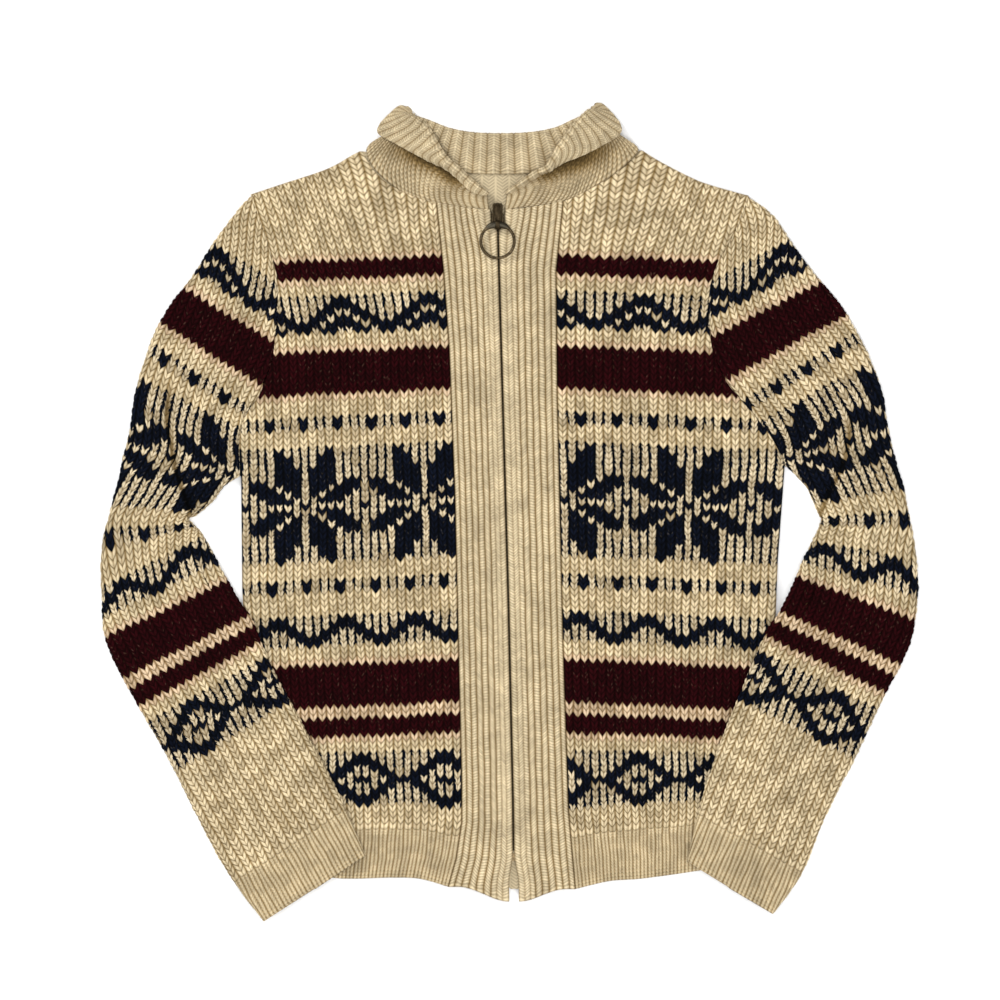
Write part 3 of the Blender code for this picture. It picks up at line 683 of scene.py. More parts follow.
def finish_cloth(name, bm, bands, seed, grain, material, start=0):
    """Makes the sheet an object, with a yarn colour on each face and a map in stitches, which
    are half as tall in the narrow rib."""
    bmesh.ops.recalc_face_normals(bm, faces=bm.faces)
    obj = new_object(name, bm, material)
    mesh = obj.data
    per_wale, per_stitch = grain
    cell_column = read_layer(mesh, "cell_column", len(mesh.polygons), np.int32)
    cell_row = read_layer(mesh, "cell_row", len(mesh.polygons), np.int32)
    u = (cell_column % per_wale + 0.5) / per_wale
    wale, stitch = cell_column // per_wale, cell_row // per_stitch
    paint(mesh, "yarn", tones(bands, wale, stitch, u, cell_row, seed, start))
    column = read_layer(mesh, "column", len(mesh.vertices), np.float32)
    row = read_layer(mesh, "row", len(mesh.vertices), np.float32)
    corner = np.zeros(len(mesh.loops), np.int32)
    mesh.loops.foreach_get("vertex_index", corner)
    counted = row / per_stitch
    if bands:
        counted = counted + np.minimum(counted, RIB_ROWS)
    pairs = np.stack([column[corner] / per_wale, counted[corner]], axis=1)
    uv = mesh.uv_layers.new(name="Stitches")
    uv.data.foreach_set("uv", pairs.astype(np.float32).ravel())
    return obj


def add_node(tree, kind, inputs, out=0, **settings):
    """Adds a shader node and gives one of its outputs. Its inputs, by name or number, are
    values, or the outputs that they are linked to."""
    node = tree.nodes.new(kind)
    for name, value in settings.items():
        setattr(node, name, value)
    for key, value in inputs.items():
        if isinstance(value, bpy.types.NodeSocket):
            tree.links.new(value, node.inputs[key])
        else:
            node.inputs[key].default_value = value
    return node.outputs[out]


def add_ramp(tree, value, stops):
    """A colour ramp over a value. Its stops are (place, colour), in order."""
    colour = add_node(tree, "ShaderNodeValToRGB", {"Fac": value})
    elements = colour.node.color_ramp.elements
    for element, (place, shade) in zip((elements[0], elements[1]), (stops[0], stops[-1])):
        element.position = place
        element.color = (*shade, 1.0)
    for place, shade in stops[1:-1]:
        elements.new(place).color = (*shade, 1.0)
    return colour


def new_material(name, roughness, specular=0.5):
    """A material, its nodes and its shader."""
    material = bpy.data.materials.new(name)
    material.use_nodes = True
    tree = material.node_tree
    shader = tree.nodes["Principled BSDF"]
    shader.inputs["Roughness"].default_value = roughness
    shader.inputs["Specular IOR Level"].default_value = specular
    return material, tree, shader


def colour_and_bump(tree, shader, colour, height, strength, distance):
    """Links a colour to the shader, and a height that roughens its surface."""
    tree.links.new(colour, shader.inputs["Base Color"])
    bump = add_node(tree, "ShaderNodeBump", {
        "Height": height, "Strength": strength, "Distance": distance})
    tree.links.new(bump, shader.inputs["Normal"])


def object_place(tree):
    """The place on the object, from which every texture starts."""
    return add_node(tree, "ShaderNodeTexCoord", {}, out="Object")


def shaded(colour, factor):
    """A colour made darker or lighter by a factor."""
    return tuple(min(1.0, channel * factor) for channel in colour)


def wool_group():
    """Shared wool effect: a yarn colour made uneven by its fibres, with painted shade that makes
    it darker and browner down between the stitches and in the notch between one and the next."""
    name = "Wool fibre"
    if name in bpy.data.node_groups:
        return bpy.data.node_groups[name]
    group = bpy.data.node_groups.new(name, "ShaderNodeTree")
    sockets = (("Yarn", "INPUT", "NodeSocketColor"), ("Depth", "INPUT", "NodeSocketFloat"),
               ("Position", "INPUT", "NodeSocketVector"),
               ("Stitches", "INPUT", "NodeSocketVector"),
               ("Notch width", "INPUT", "NodeSocketFloat"),
               ("Notch shade", "INPUT", "NodeSocketFloat"),
               ("Colour", "OUTPUT", "NodeSocketColor"), ("Fuzz", "OUTPUT", "NodeSocketFloat"))
    for label, way, kind in sockets:
        group.interface.new_socket(label, in_out=way, socket_type=kind)
    source = group.nodes.new("NodeGroupInput").outputs
    result = group.nodes.new("NodeGroupOutput").inputs
    fibre = add_node(group, "ShaderNodeTexNoise", {
        "Vector": source["Position"], "Scale": 680.0, "Detail": 3.0, "Roughness": 0.65})
    patch = add_node(group, "ShaderNodeTexNoise", {
        "Vector": source["Position"], "Scale": 45.0, "Detail": 2.0})
    both = add_node(group, "ShaderNodeMath", {0: fibre, 1: patch}, operation="ADD")
    shade = add_node(group, "ShaderNodeMapRange", {
        "Value": both, "From Min": 0.6, "From Max": 1.4, "To Min": 0.68, "To Max": 1.22})
    along = add_node(group, "ShaderNodeVectorMath", {
        0: source["Stitches"], 1: (2.4, 6.5, 1.0)}, operation="MULTIPLY")
    streak = add_node(group, "ShaderNodeTexNoise", {
        "Vector": along, "Scale": 1.0, "Detail": 2.0})
    strand = add_node(group, "ShaderNodeMapRange", {
        "Value": streak, "From Min": 0.32, "From Max": 0.68, "To Min": 0.82, "To Max": 1.10})
    # Painted shade in the notch where each stitch rises out of the one below
    up = add_node(group, "ShaderNodeSeparateXYZ", {"Vector": source["Stitches"]}, out="Y")
    from_notch = add_node(group, "ShaderNodeMath", {0: up, 1: 0.5}, operation="PINGPONG")
    notch = add_node(group, "ShaderNodeMapRange", {
        "Value": from_notch, "From Max": source["Notch width"],
        "To Min": source["Notch shade"], "To Max": 1.0}, interpolation_type="SMOOTHSTEP")
    worn = add_node(group, "ShaderNodeMath", {0: shade, 1: strand}, operation="MULTIPLY")
    drawn = add_node(group, "ShaderNodeMath", {0: worn, 1: notch}, operation="MULTIPLY")
    tint = add_node(group, "ShaderNodeVectorMath", {
        0: source["Yarn"], "Scale": drawn}, operation="SCALE")
    # Painted shade: the lower a point stands in its stitch, the darker and browner its colour
    hollow = add_ramp(group, source["Depth"], [
        (0.0, (0.10, 0.075, 0.04)), (GROOVE_SHADE + 0.04, (0.32, 0.25, 0.145)),
        (0.88, (1.0, 1.0, 1.0))])
    with_groove_shade = add_node(group, "ShaderNodeVectorMath", {0: tint, 1: hollow}, operation="MULTIPLY")
    group.links.new(with_groove_shade, result["Colour"])
    group.links.new(fibre, result["Fuzz"])
    return group


def wool(name, fuzz, notch=(0.20, 0.56)):
    """A woollen material that takes its yarn colours from the faces. The notch between two
    stitches is painted shade, with a width, in stitches, and a shade."""
    material, tree, shader = new_material(name, 0.95, 0.05)
    colour = add_node(tree, "ShaderNodeGroup", {
        "Yarn": add_node(tree, "ShaderNodeAttribute", {}, out="Color", attribute_name="yarn"),
        "Depth": add_node(tree, "ShaderNodeAttribute", {}, out="Fac", attribute_name="depth"),
        "Position": object_place(tree),
        "Stitches": add_node(tree, "ShaderNodeUVMap", {}, uv_map="Stitches"),
        "Notch width": notch[0], "Notch shade": notch[1]},
        out="Colour", node_tree=wool_group())
    colour_and_bump(tree, shader, colour, colour.node.outputs["Fuzz"], fuzz, 0.0006)
    return material


def wrong_side(name):
    """The inside of the back: thin upright ridges with small waves of yarn between them, and
    painted shade low between the ridges.
    """
    cream = bpy.context.scene.sweater_yarn.cream
    material, tree, shader = new_material(name, 0.95, 0.05)
    count = add_node(tree, "ShaderNodeVectorMath", {
        0: object_place(tree), 1: (1000.0 / INSIDE_PITCH, 1000.0 / INSIDE_ROW, 0.0)},
        operation="MULTIPLY")
    across = add_node(tree, "ShaderNodeSeparateXYZ", {"Vector": count}, out="X")
    up = across.node.outputs["Y"]
    from_ridge = add_node(tree, "ShaderNodeMath", {0: across, 1: 0.5}, operation="PINGPONG")
    slope = add_node(tree, "ShaderNodeMath", {
        0: from_ridge, 1: 3.0, 2: up}, operation="MULTIPLY_ADD")
    wave = add_node(tree, "ShaderNodeMath", {0: slope, 1: 0.5}, operation="PINGPONG")
    ridge = add_node(tree, "ShaderNodeMapRange", {
        "Value": from_ridge, "From Min": 0.05, "From Max": 0.12, "To Min": 0.5, "To Max": 0.0})
    height = add_node(tree, "ShaderNodeMath", {0: wave, 1: ridge}, operation="MAXIMUM")
    # Colour from half to four fifths of the cream, darkest low between the ridges: painted shade
    # in the hollows
    colour = add_ramp(tree, height, [(0.0, shaded(cream, 0.50)), (0.45, shaded(cream, 0.80))])
    colour_and_bump(tree, shader, colour, height, 0.6, 0.0012)
    return material


def aged_metal(name, colour, rough, wear, dull=0.6):
    """Brass gone dull and brown, brighter where it is rubbed: its colour times dull in the
    stains and times wear elsewhere."""
    material, tree, shader = new_material(name, rough)
    shader.inputs["Metallic"].default_value = 1.0
    stain = add_node(tree, "ShaderNodeTexNoise", {
        "Vector": object_place(tree), "Scale": 420.0, "Detail": 4.0})
    tarnish = add_ramp(tree, stain, [(0.38, shaded(colour, dull)), (0.66, shaded(colour, wear))])
    gloss = add_node(tree, "ShaderNodeMapRange", {
        "Value": stain, "To Min": rough + 0.16, "To Max": rough - 0.06})
    tree.links.new(tarnish, shader.inputs["Base Color"])
    tree.links.new(gloss, shader.inputs["Roughness"])
    return material


def ring_metal(brass, saddle_from):
    """Aged brass that turns to grey pewter at the saddle."""
    material = aged_metal("Ring brass", shaded(brass, 0.27), 0.36, 2.2)
    tree = material.node_tree
    base = tree.nodes["Principled BSDF"].inputs["Base Color"]
    worn = base.links[0].from_socket
    up = add_node(tree, "ShaderNodeSeparateXYZ", {"Vector": object_place(tree)}, out="Y")
    at_top = add_node(tree, "ShaderNodeMapRange", {
        "Value": up, "From Min": saddle_from * MM, "From Max": (saddle_from + 2.5) * MM})
    blend = tree.nodes.new("ShaderNodeMix")
    blend.data_type = "RGBA"
    shown = {socket.name: socket for socket in blend.inputs if socket.enabled}
    tree.links.new(at_top, shown["Factor"])
    tree.links.new(worn, shown["A"])
    shown["B"].default_value = (*PEWTER, 1.0)
    mixed = [socket for socket in blend.outputs if socket.enabled][0]
    tree.links.new(mixed, base)
    return material


def cotton(name):
    """Woven cotton tape: fine crossing threads."""
    material, tree, shader = new_material(name, 0.85)
    weave = add_node(tree, "ShaderNodeTexWave", {
        "Vector": object_place(tree), "Scale": 900.0, "Distortion": 1.0}, out="Fac")
    colour = add_ramp(tree, weave, [(0.0, (0.30, 0.23, 0.14)), (1.0, (0.46, 0.37, 0.25))])
    colour_and_bump(tree, shader, colour, weave, 0.3, 0.0003)
    return material


def row_height(side, row, x):
    """y of a row of stitches of the body: it follows the hem below and sags a little towards
    the sides above."""
    up = row * (bpy.context.scene.sweater_knit.stitch / MM)
    hem = over(smooth_outline(HEM[side]), x) - BODY_FOOT
    share = np.clip((np.abs(x) - SAG_FROM) / SAG_RUN, 0.0, 1.0)
    above = smoothstep(up / HEM_RUN)
    return BODY_FOOT + up + hem * (1.0 - above) - SAG * share * above


def between_seams(side, y, part, whole=1):
    """x at heights y, a part of the whole way from a front's band to its side seam."""
    seam = on_line(BAND_SEAM[side], y)
    return seam + (on_line(FLANK[side], y) - seam) * part / whole


def body_limit(side, y, past=0.0):
    """x where the body ends at heights y: its side seam, and above it the armhole or a little
    past it."""
    armhole = beside(smooth_outline(ARMHOLE[side]), y) + side * past
    return np.where(y > ARMHOLE[side][-1][1], armhole, on_line(FLANK[side], y))


def side_seam(side):
    """The body's side seam below the armhole, from the top down."""
    return turned(FLANK[side], below=ARMHOLE[side][-1][1])


def cut_out(x, y, limit, top, foot):
    """Moves the places beyond a panel's outline onto it, and says which they are."""
    beyond = np.abs(x) > np.abs(limit)
    x = np.where(beyond, limit, x)
    ceiling = over(top, x)
    outside = beyond | (y > ceiling)
    return x, np.maximum(np.minimum(y, ceiling), over(foot, x)), outside


def swells(flat, creases):
    """How high the cloth stands over its creases and swells."""
    swell = np.zeros(len(flat))
    for x, y, length, width, turn, height in creases:
        angle = math.radians(turn)
        dx, dy = flat[:, 0] - x, flat[:, 1] - y
        along = dx * math.cos(angle) + dy * math.sin(angle)
        away = -dx * math.sin(angle) + dy * math.cos(angle)
        swell += height * np.exp(-(along / length) ** 2 - (away / width) ** 2)
    return swell


def front_points(side, wale, stitch):
    """Where the stitches of a front lie, clipped to its outline."""
    knit = bpy.context.scene.sweater_knit
    up = stitch + panel_lean(wale, stitch)
    guess = BODY_FOOT + up * knit.stitch / MM
    y = row_height(side, up, between_seams(side, guess, wale / knit.front_wales))
    x = between_seams(side, y, wale, knit.front_wales)
    x = x + side * FAN_BEND * np.clip(y - FAN_FROM, 0.0, None) ** 2 * smoothstep(wale / 10.0)
    limit = body_limit(side, y, past=UNDER_SLEEVE)
    top = smooth_outline(NECK[side]) + smooth_outline(SHOULDER[side])[1:]
    x, y, outside = cut_out(x, y, limit, top, smooth_outline(HEM[side]))
    across, along = unevenness(wale, up, side + 2)
    inside = np.maximum(np.abs(limit) - np.abs(x), 0.0)
    free = smoothstep((stitch - 1.0) / 3.0) * np.where(outside, 0.0, 1.0)
    free = free * smoothstep(wale * 1.5) * smoothstep(inside / 3.0)
    x = x + across * free
    y = np.minimum(y + along * free, over(top, x))
    return x, y, outside


def front_edge(side):
    """The whole rim of a front, for its rounded edges."""
    return (turned(BAND_SEAM[side], below=269)[::-1] + smooth_outline(NECK[side])
            + smooth_outline(SHOULDER[side]) + smooth_outline(ARMHOLE[side])
            + side_seam(side) + smooth_outline(HEM[side]))


def make_front(side):
    """One front, knitted in wales that run from the hem to the shoulder."""
    wales = bpy.context.scene.sweater_knit.front_wales + 1
    bm, wale, stitch = weave(wales, FRONT_ROWS, PANEL_GRAIN)
    x, y, outside = front_points(side, wale, stitch)
    flat = np.column_stack([x, y])
    rim = distance_to(flat, front_edge(side))
    seams = (turned(BAND_SEAM[side]), smooth_outline(NECK[side]), smooth_outline(ARMHOLE[side]))
    sewn = np.min([distance_to(flat, seam) for seam in seams], axis=0)
    relief = knit_relief(wale, stitch, side + 2)
    edge = smoothstep(rim / 3.0) * 0.75 + 0.25
    drop = np.where(sewn < rim + 0.5, rolled(rim, *SEWN_EDGE), rolled(rim, *FREE_EDGE))
    z = FRONT_TOP - RELIEF + RELIEF * relief * edge - drop
    z = z + swells(flat, BODY_CREASES[side])
    covered = np.abs(x) > np.abs(beside(SLEEVE_INNER[side], y)) - 6.0
    z = np.where(covered & (y < 0.0), np.minimum(z, FRONT_TOP - 0.1), z)
    z = np.maximum(z, FRONT_LOW + 0.5)
    set_points(bm, np.column_stack([flat, z]), relief)
    drop_outside(bm, outside)
    close_under(bm, FRONT_LOW)
    name = "left" if side < 0 else "right"
    obj = finish_cloth("Front_" + name, bm, BODY_BANDS, side + 2, PANEL_GRAIN,
                       wool("Body wool " + name, 0.5), start=3 if side < 0 else 6)
    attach(obj, "garment")
    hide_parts("front_left" if side < 0 else "front_right")


class SWEATER_OT_fronts(Operator):
    """Knit both fronts in ribs of V stitches, cut to their outlines"""
    bl_idname = "sweater.fronts"
    bl_label = "Fronts"

    def execute(self, context):
        for side in (-1, 1):
            make_front(side)
        return {"FINISHED"}


class SWEATER_OT_back(Operator):
    """Knit the back, whose outside lies on the floor"""
    bl_idname = "sweater.back"
    bl_label = "Back"

    def execute(self, context):
        knit = context.scene.sweater_knit
        half = knit.front_wales + 6
        bm, wale, stitch = weave(2 * half, BACK_ROWS, BACK_GRAIN)
        up = stitch + panel_lean(wale, stitch)
        x = (wale - half) * knit.wale / MM + 1.0
        y = np.where(x < 0, row_height(-1, up, x), row_height(1, up, x))
        limit = np.where(x < 0, body_limit(-1, y), body_limit(1, y))
        neck = [(a, b + UNDER_COLLAR) for a, b in smooth_outline(BACK_NECK)[::-1][3:-3]]
        top = smooth_outline(SHOULDER[-1])[::-1] + neck + smooth_outline(SHOULDER[1])
        foot = smooth_outline(HEM[-1]) + [(0, -336)] + smooth_outline(HEM[1])[::-1]
        x, y, outside = cut_out(x, y, limit, top, foot)
        right = smooth_outline(ARMHOLE[1]) + side_seam(1) + smooth_outline(HEM[1])
        left = smooth_outline(ARMHOLE[-1]) + side_seam(-1) + smooth_outline(HEM[-1])
        flat = np.column_stack([x, y])
        rim = distance_to(flat, top + right + left[::-1])
        relief = knit_relief(wale, stitch, 9)
        z = np.clip(0.75 * (1.0 - relief), 0.0, 1.0) + rolled(rim, *BACK_EDGE)
        set_points(bm, np.column_stack([flat, z]), relief)
        drop_outside(bm, outside)
        bmesh.ops.reverse_faces(bm, faces=bm.faces)
        for face in close_under(bm, BACK_TOP):
            face.material_index = 1
        obj = finish_cloth("Back", bm, BODY_BANDS, 9, BACK_GRAIN, wool("Back wool", 0.5),
                           start=3)
        obj.data.materials.append(wrong_side("Back inside"))
        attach(obj, "garment")
        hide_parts("back")
        return {"FINISHED"}


def zip_gap(y):
    """Half the opening between the bands: a narrow slit, wider round the slider and at the
    two ends."""
    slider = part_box("zip_slider")
    half = (slider[1].x - slider[0].x) / 2 / MM + 0.1
    opened = (half - ZIP_CLOSED) * smoothstep((y - ZIP_PARTS) / ZIP_PART_RUN)
    above = 2.6 * smoothstep((y - 260.0) / 16.0)
    below = 3.4 * smoothstep((-300.0 - y) / 30.0)
    return ZIP_CLOSED + opened + above + below


def make_band(side):
    """One front band: ribs of small stitches. The grooves between the three next to the zip
    are shallow. The stitches slant one way in one rib and the other way in the next."""
    knit = bpy.context.scene.sweater_knit
    ribs = knit.band_ribs
    stitches = int((BAND_HEAD - BAND_FOOT) / (knit.band_stitch / MM))
    bm, wale, stitch = weave(ribs, stitches, BAND_GRAIN)
    widths = np.array([0.0, 0.9, 0.8, 0.8] + [1.0] * (ribs - 4) + [0.8])
    grooves = np.array([0.6, 0.6, 0.65] + [1.0] * (ribs - 2))
    share = np.interp(wale, np.arange(ribs + 1), np.cumsum(widths) / widths.sum())
    slant = np.abs(2.0 * part_of(wale / 2.0) - 1.0)
    up = stitch + 1.2 * slant * first_row(stitch)
    low = BAND_FOOT + (HEM[side][-1][1] - BAND_FOOT) * smoothstep(share * 1.2)
    zip_top, seam_top = on_line(ZIP_LINE, BAND_HEAD), on_line(BAND_SEAM[side], BAND_HEAD)
    collar = [station[:2] for station in COLLAR if station[1] < 280]
    top = over(collar, zip_top + share * (seam_top - zip_top)) + BAND_UNDER_COLLAR
    y = np.minimum(low + (top - low) * up / stitches, top)
    soft = zip_gap(0.0 * y) + 9.0 * smoothstep((y - 215.0) / 60.0)
    gap = zip_gap(y) + np.maximum(soft - zip_gap(y), 0.0) * smoothstep(share * 4.0)
    inner = on_line(ZIP_LINE, y) + side * gap
    outer = on_line(BAND_SEAM[side], y) - side * 0.1
    x = inner + (outer - inner) * share
    x = x + side * 0.18 * np.sin(y / 9.0 + wale) * np.sin(np.pi * share)
    to_inner, to_outer = np.abs(x - inner), np.abs(outer - x)
    rim = np.min([to_inner, to_outer, top - y + 0.2, y - low + 0.2], axis=0)
    u = part_of(wale)
    rib = np.minimum(np.floor(wale).astype(int), ribs - 1)
    deep = np.where(u < 0.5, grooves[rib], grooves[rib + 1])
    groove = 1.0 - deep * (1.0 - np.sin(np.pi * u) ** 0.75)
    relief = groove * (0.70 + 0.30 * np.sin(np.pi * part_of(stitch)))
    arch = smoothstep(1.0 - (np.abs(x - on_line(ZIP_LINE, y)) - 3.5) / 6.0)
    drop = np.where(to_inner < to_outer, rolled(rim, *ZIP_EDGE), rolled(rim, *SEWN_EDGE))
    z = BAND_TOP_Z - 3.5 + arch + 1.75 * relief - drop
    z = z + 0.35 * np.sin(y / 37.0 + side) * np.sin(np.pi * share)
    set_points(bm, np.column_stack([x, y, z]), relief)
    close_under(bm, FRONT_LOW + 0.9)
    name = "left" if side < 0 else "right"
    obj = finish_cloth("Front_band_" + name, bm, [], side + 12, BAND_GRAIN,
                       wool("Band wool " + name, 0.45, notch=(0.5, 0.72)))
    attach(obj, "garment")
    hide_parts("front_band_left" if side < 0 else "front_band_right")


class SWEATER_OT_bands(Operator):
    """Knit the two ribbed front bands on each side of the zip"""
    bl_idname = "sweater.bands"
    bl_label = "Front bands"

    def execute(self, context):
        for side in (-1, 1):
            make_band(side)
        return {"FINISHED"}


def sleeve_outline(side):
    """The closed outline of a sleeve."""
    return (smooth_outline(SLEEVE_OUTER[side])
            + smooth_outline(SLEEVE_INNER[side])[::-1]
            + smooth_outline(ARMHOLE[side])[::-1][1:-1])


def sleeve_lift(side, x, y):
    """How high the sleeve is carried where it lies over the side of the body."""
    outside = np.abs(x) - np.abs(on_line(FLANK[side], y))
    return (SLEEVE_LIFT * smoothstep(1.0 - (outside - 12.0) / 24.0)
            * smoothstep(-y / 52.0))


def elbow_fold(side, flat):
    """The pleat down the elbow: how high the cloth stands, steep on the inner side, and how
    deep its shadow is there."""
    line = smooth_outline(ELBOW[side])
    best = np.full(len(flat), 1e9)
    height = np.zeros(len(flat))
    inner = np.zeros(len(flat), bool)
    for start, end in zip(line, line[1:]):
        a, b = np.array(start[:2], float), np.array(end[:2], float)
        run = b - a
        share = np.clip(((flat - a) @ run) / (run @ run), 0.0, 1.0)
        away = flat - (a + share[:, None] * run)
        off = np.hypot(away[:, 0], away[:, 1])
        nearer = off < best
        best = np.where(nearer, off, best)
        height = np.where(nearer, start[2] + (end[2] - start[2]) * share, height)
        inner = np.where(nearer, away[:, 0] * -side > 0, inner)
    stand = height * np.where(inner, np.exp(-(best / 1.8) ** 2), np.exp(-(best / 15.0) ** 2))
    shadow = np.where(inner, np.exp(-((best - 2.0) / 3.0) ** 2), 0.0)
    return stand, shadow * np.clip(height / 3.0, 0.0, 1.0)


def round_the_fold(offset, reach_here, total):
    """Carries a distance across the sleeve over its edge and on underneath: the place across
    and the turn from the top, in radians."""
    radius = np.minimum(SLEEVE_MIDDLE, 0.45 * total)
    core = reach_here - radius
    past = np.abs(offset) - core
    turn = np.clip(past / SLEEVE_MIDDLE, 0.0, np.pi)
    beneath = np.clip(past - np.pi * SLEEVE_MIDDLE, 0.0, None)
    beneath = np.minimum(beneath, 0.42 * np.maximum(total - 2.0 * radius, 0.0))
    place = np.where(past < 0.0, np.abs(offset), core + radius * np.sin(turn) - beneath)
    return place * np.sign(offset), turn


def make_sleeve(side):
    """One sleeve as a flattened tube. Its wales keep their distance from the sleeve's middle
    line and run over its edges to the underside."""
    knit = bpy.context.scene.sweater_knit
    ribbed = 2 * SLEEVE_HALF * PANEL_GRAIN[0]
    rows = np.array(SLEEVE_ROWS[side], float)
    middles, ways = rows.mean(axis=1), rows[:, 1] - rows[:, 0]
    ways /= np.hypot(*ways.T)[:, None]
    fine = np.linspace(0, len(middles) - 1, 400)
    path = curve_at(middles, fine)
    length = np.concatenate([[0.0], np.cumsum(np.hypot(*np.diff(path, axis=0).T))])
    stitches = int(length[-1] / (knit.stitch / MM))
    bm, wale, stitch = weave(2 * SLEEVE_HALF, stitches, PANEL_GRAIN, more=UNDERSIDE)
    column = wale * PANEL_GRAIN[0]
    woven = column <= ribbed
    wale = np.where(woven, wale, 0.0)
    up = stitch + panel_lean(wale, stitch)
    down = np.clip((stitches - up) * length[-1] / stitches, 0.0, length[-1])
    t = np.interp(down, length, fine)
    middle = curve_at(middles, t)
    way = curve_at(ways, t)
    way /= np.hypot(*way.T)[:, None]
    outline = sleeve_outline(side)
    to_inner = np.maximum(reach(middle, way, outline) - EDGE_ROOM, 0.5)
    to_outer = np.maximum(reach(middle, -way, outline) - EDGE_ROOM, 0.5)
    total = to_inner + to_outer
    pitch = knit.wale / MM
    offset = (SLEEVE_HALF - wale) * pitch
    ahead = np.where(offset >= 0.0, to_inner, to_outer)
    place, turn = round_the_fold(offset, ahead, total)
    last = np.full(len(wale), SLEEVE_HALF * pitch)
    last_outer = round_the_fold(-last, to_outer, total)[0]
    last_inner = round_the_fold(last, to_inner, total)[0]
    share = np.clip((column - ribbed) / UNDERSIDE, 0.0, 1.0)
    place = np.where(woven, place, last_outer + (last_inner - last_outer) * share)
    turn = np.where(woven, turn, np.pi)
    flat = middle + way * place[:, None]
    across, along = unevenness(wale, up, side + 20)
    free = smoothstep((stitch - 1.0) / 3.0) * smoothstep((stitches - stitch) / 6.0)
    free = free * np.where(turn > 0.0, 0.0, 1.0)
    flat = flat + way * (across * free)[:, None]
    flat[:, 1] += along * free
    relief = np.where(woven, knit_relief(wale, stitch, side + 20), 0.5)
    sunk = RELIEF * (1.0 - relief) * np.where(turn > 2.6, 0.5, 1.0)
    flat = flat - way * (np.sign(place) * sunk * np.sin(turn))[:, None]
    z = SLEEVE_MIDDLE + (SLEEVE_MIDDLE - sunk) * np.cos(turn)
    on_top = smoothstep(np.cos(turn))
    pleat, shadow = elbow_fold(side, flat)
    z = z + (pleat + swells(flat, SLEEVE_CREASES[side])) * on_top
    # Painted shadow on the inner side of the elbow's pleat, carried in the stitches' depth
    relief = relief * (1.0 - 0.9 * shadow * on_top)
    z = z + sleeve_lift(side, flat[:, 0], flat[:, 1])
    set_points(bm, np.column_stack([flat, z]), relief)
    ends = (column == 0) | (column == ribbed + UNDERSIDE)
    joined = [vert for vert, at_end in zip(bm.verts, ends) if at_end]
    bmesh.ops.remove_doubles(bm, verts=joined, dist=0.01 * MM)
    shoulder = [edge for edge in bm.edges if edge.is_boundary and edge.verts[0].co.y > 0.0]
    bmesh.ops.contextual_create(bm, geom=shoulder)
    close_cuff(bm, side)
    name = "left" if side < 0 else "right"
    obj = finish_cloth("Sleeve_" + name, bm, SLEEVE_BANDS, side + 20, PANEL_GRAIN,
                       wool("Sleeve wool " + name, 0.5), start=2)
    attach(obj, "garment")
    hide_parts("sleeve_left" if side < 0 else "sleeve_right")


def close_cuff(bm, side):
    """Turns the open rim of the cuff in and closes it a little way up the sleeve."""
    rim = [edge for edge in bm.edges if edge.is_boundary]
    outer, inner = (Vector((*end, 0.0)) for end in SLEEVE_ROWS[side][-1])
    way = (inner - outer).normalized()
    inward = Vector((-way.y, way.x, 0.0)) * -side
    middle = (outer + inner) / 2 * MM
    for depth, squeeze in ((1.2, 0.55), (14.0, 0.3)):
        grown = bmesh.ops.extrude_edge_only(bm, edges=rim)
        rim = parts(grown, bmesh.types.BMEdge)
        for vert in parts(grown, bmesh.types.BMVert):
            here = vert.co - middle
            lift = sleeve_lift(side, vert.co.x / MM, vert.co.y / MM)
            centre = (SLEEVE_MIDDLE + float(lift)) * MM
            vert.co.z = centre + (vert.co.z - centre) * squeeze
            vert.co -= way * here.dot(way) * 0.03
            vert.co += inward * depth * MM
    bmesh.ops.contextual_create(bm, geom=rim)
    bmesh.ops.triangulate(bm, faces=[face for face in bm.faces if len(face.verts) > 4])


class SWEATER_OT_sleeves(Operator):
    """Knit the two sleeves, folded flat, with the lower arms lying over the body"""
    bl_idname = "sweater.sleeves"
    bl_label = "Sleeves"

    def execute(self, context):
        for side in (-1, 1):
            make_sleeve(side)
        return {"FINISHED"}


def collar_surface(station, share):
    """The collar's inner side: up the stand, round the roll and down the fall."""
    table = curve_at(COLLAR, station)
    roll_xy = table[:, 3:5]
    away = roll_xy - np.array(NECK_MIDDLE)
    away /= np.hypot(*away.T)[:, None]
    angle = np.radians(np.clip(table[:, 6], -90.0, 90.0))
    fold = np.column_stack([away * np.cos(angle)[:, None], np.sin(angle)])
    low = np.column_stack([table[:, 0:2], np.full(len(table), SEAM_MIDDLE)])
    high = np.column_stack([roll_xy, np.full(len(table), ROLL_MIDDLE)])
    low = low + fold * table[:, 2:3]
    high = high + fold * table[:, 5:6]
    run = high - low
    along = run / np.linalg.norm(run, axis=1)[:, None]
    low = low + along * 0.4
    hollow = table[:, 7:8]
    up = np.clip(share / ROLL_SHARE[0], 0.0, 1.0)[:, None]
    point = low + (high - low) * up
    point[:, 2] = low[:, 2] + (high[:, 2] - low[:, 2]) * np.sin(up[:, 0] * np.pi / 2)
    rolling = (share - ROLL_SHARE[0]) / (ROLL_SHARE[1] - ROLL_SHARE[0])
    turn = np.pi * np.clip(rolling, 0.0, 1.0)[:, None]
    centre = high + fold * hollow / 2
    round_it = centre + (along * np.sin(turn) - fold * np.cos(turn)) * hollow / 2
    point = np.where((share > ROLL_SHARE[0])[:, None], round_it, point)
    out = np.clip((share - ROLL_SHARE[1]) / (1.0 - ROLL_SHARE[1]), 0.0, 1.0)[:, None]
    fallen = round_it + (table[:, 8:11] - round_it) * out
    return np.where((share > ROLL_SHARE[1])[:, None], fallen, point)


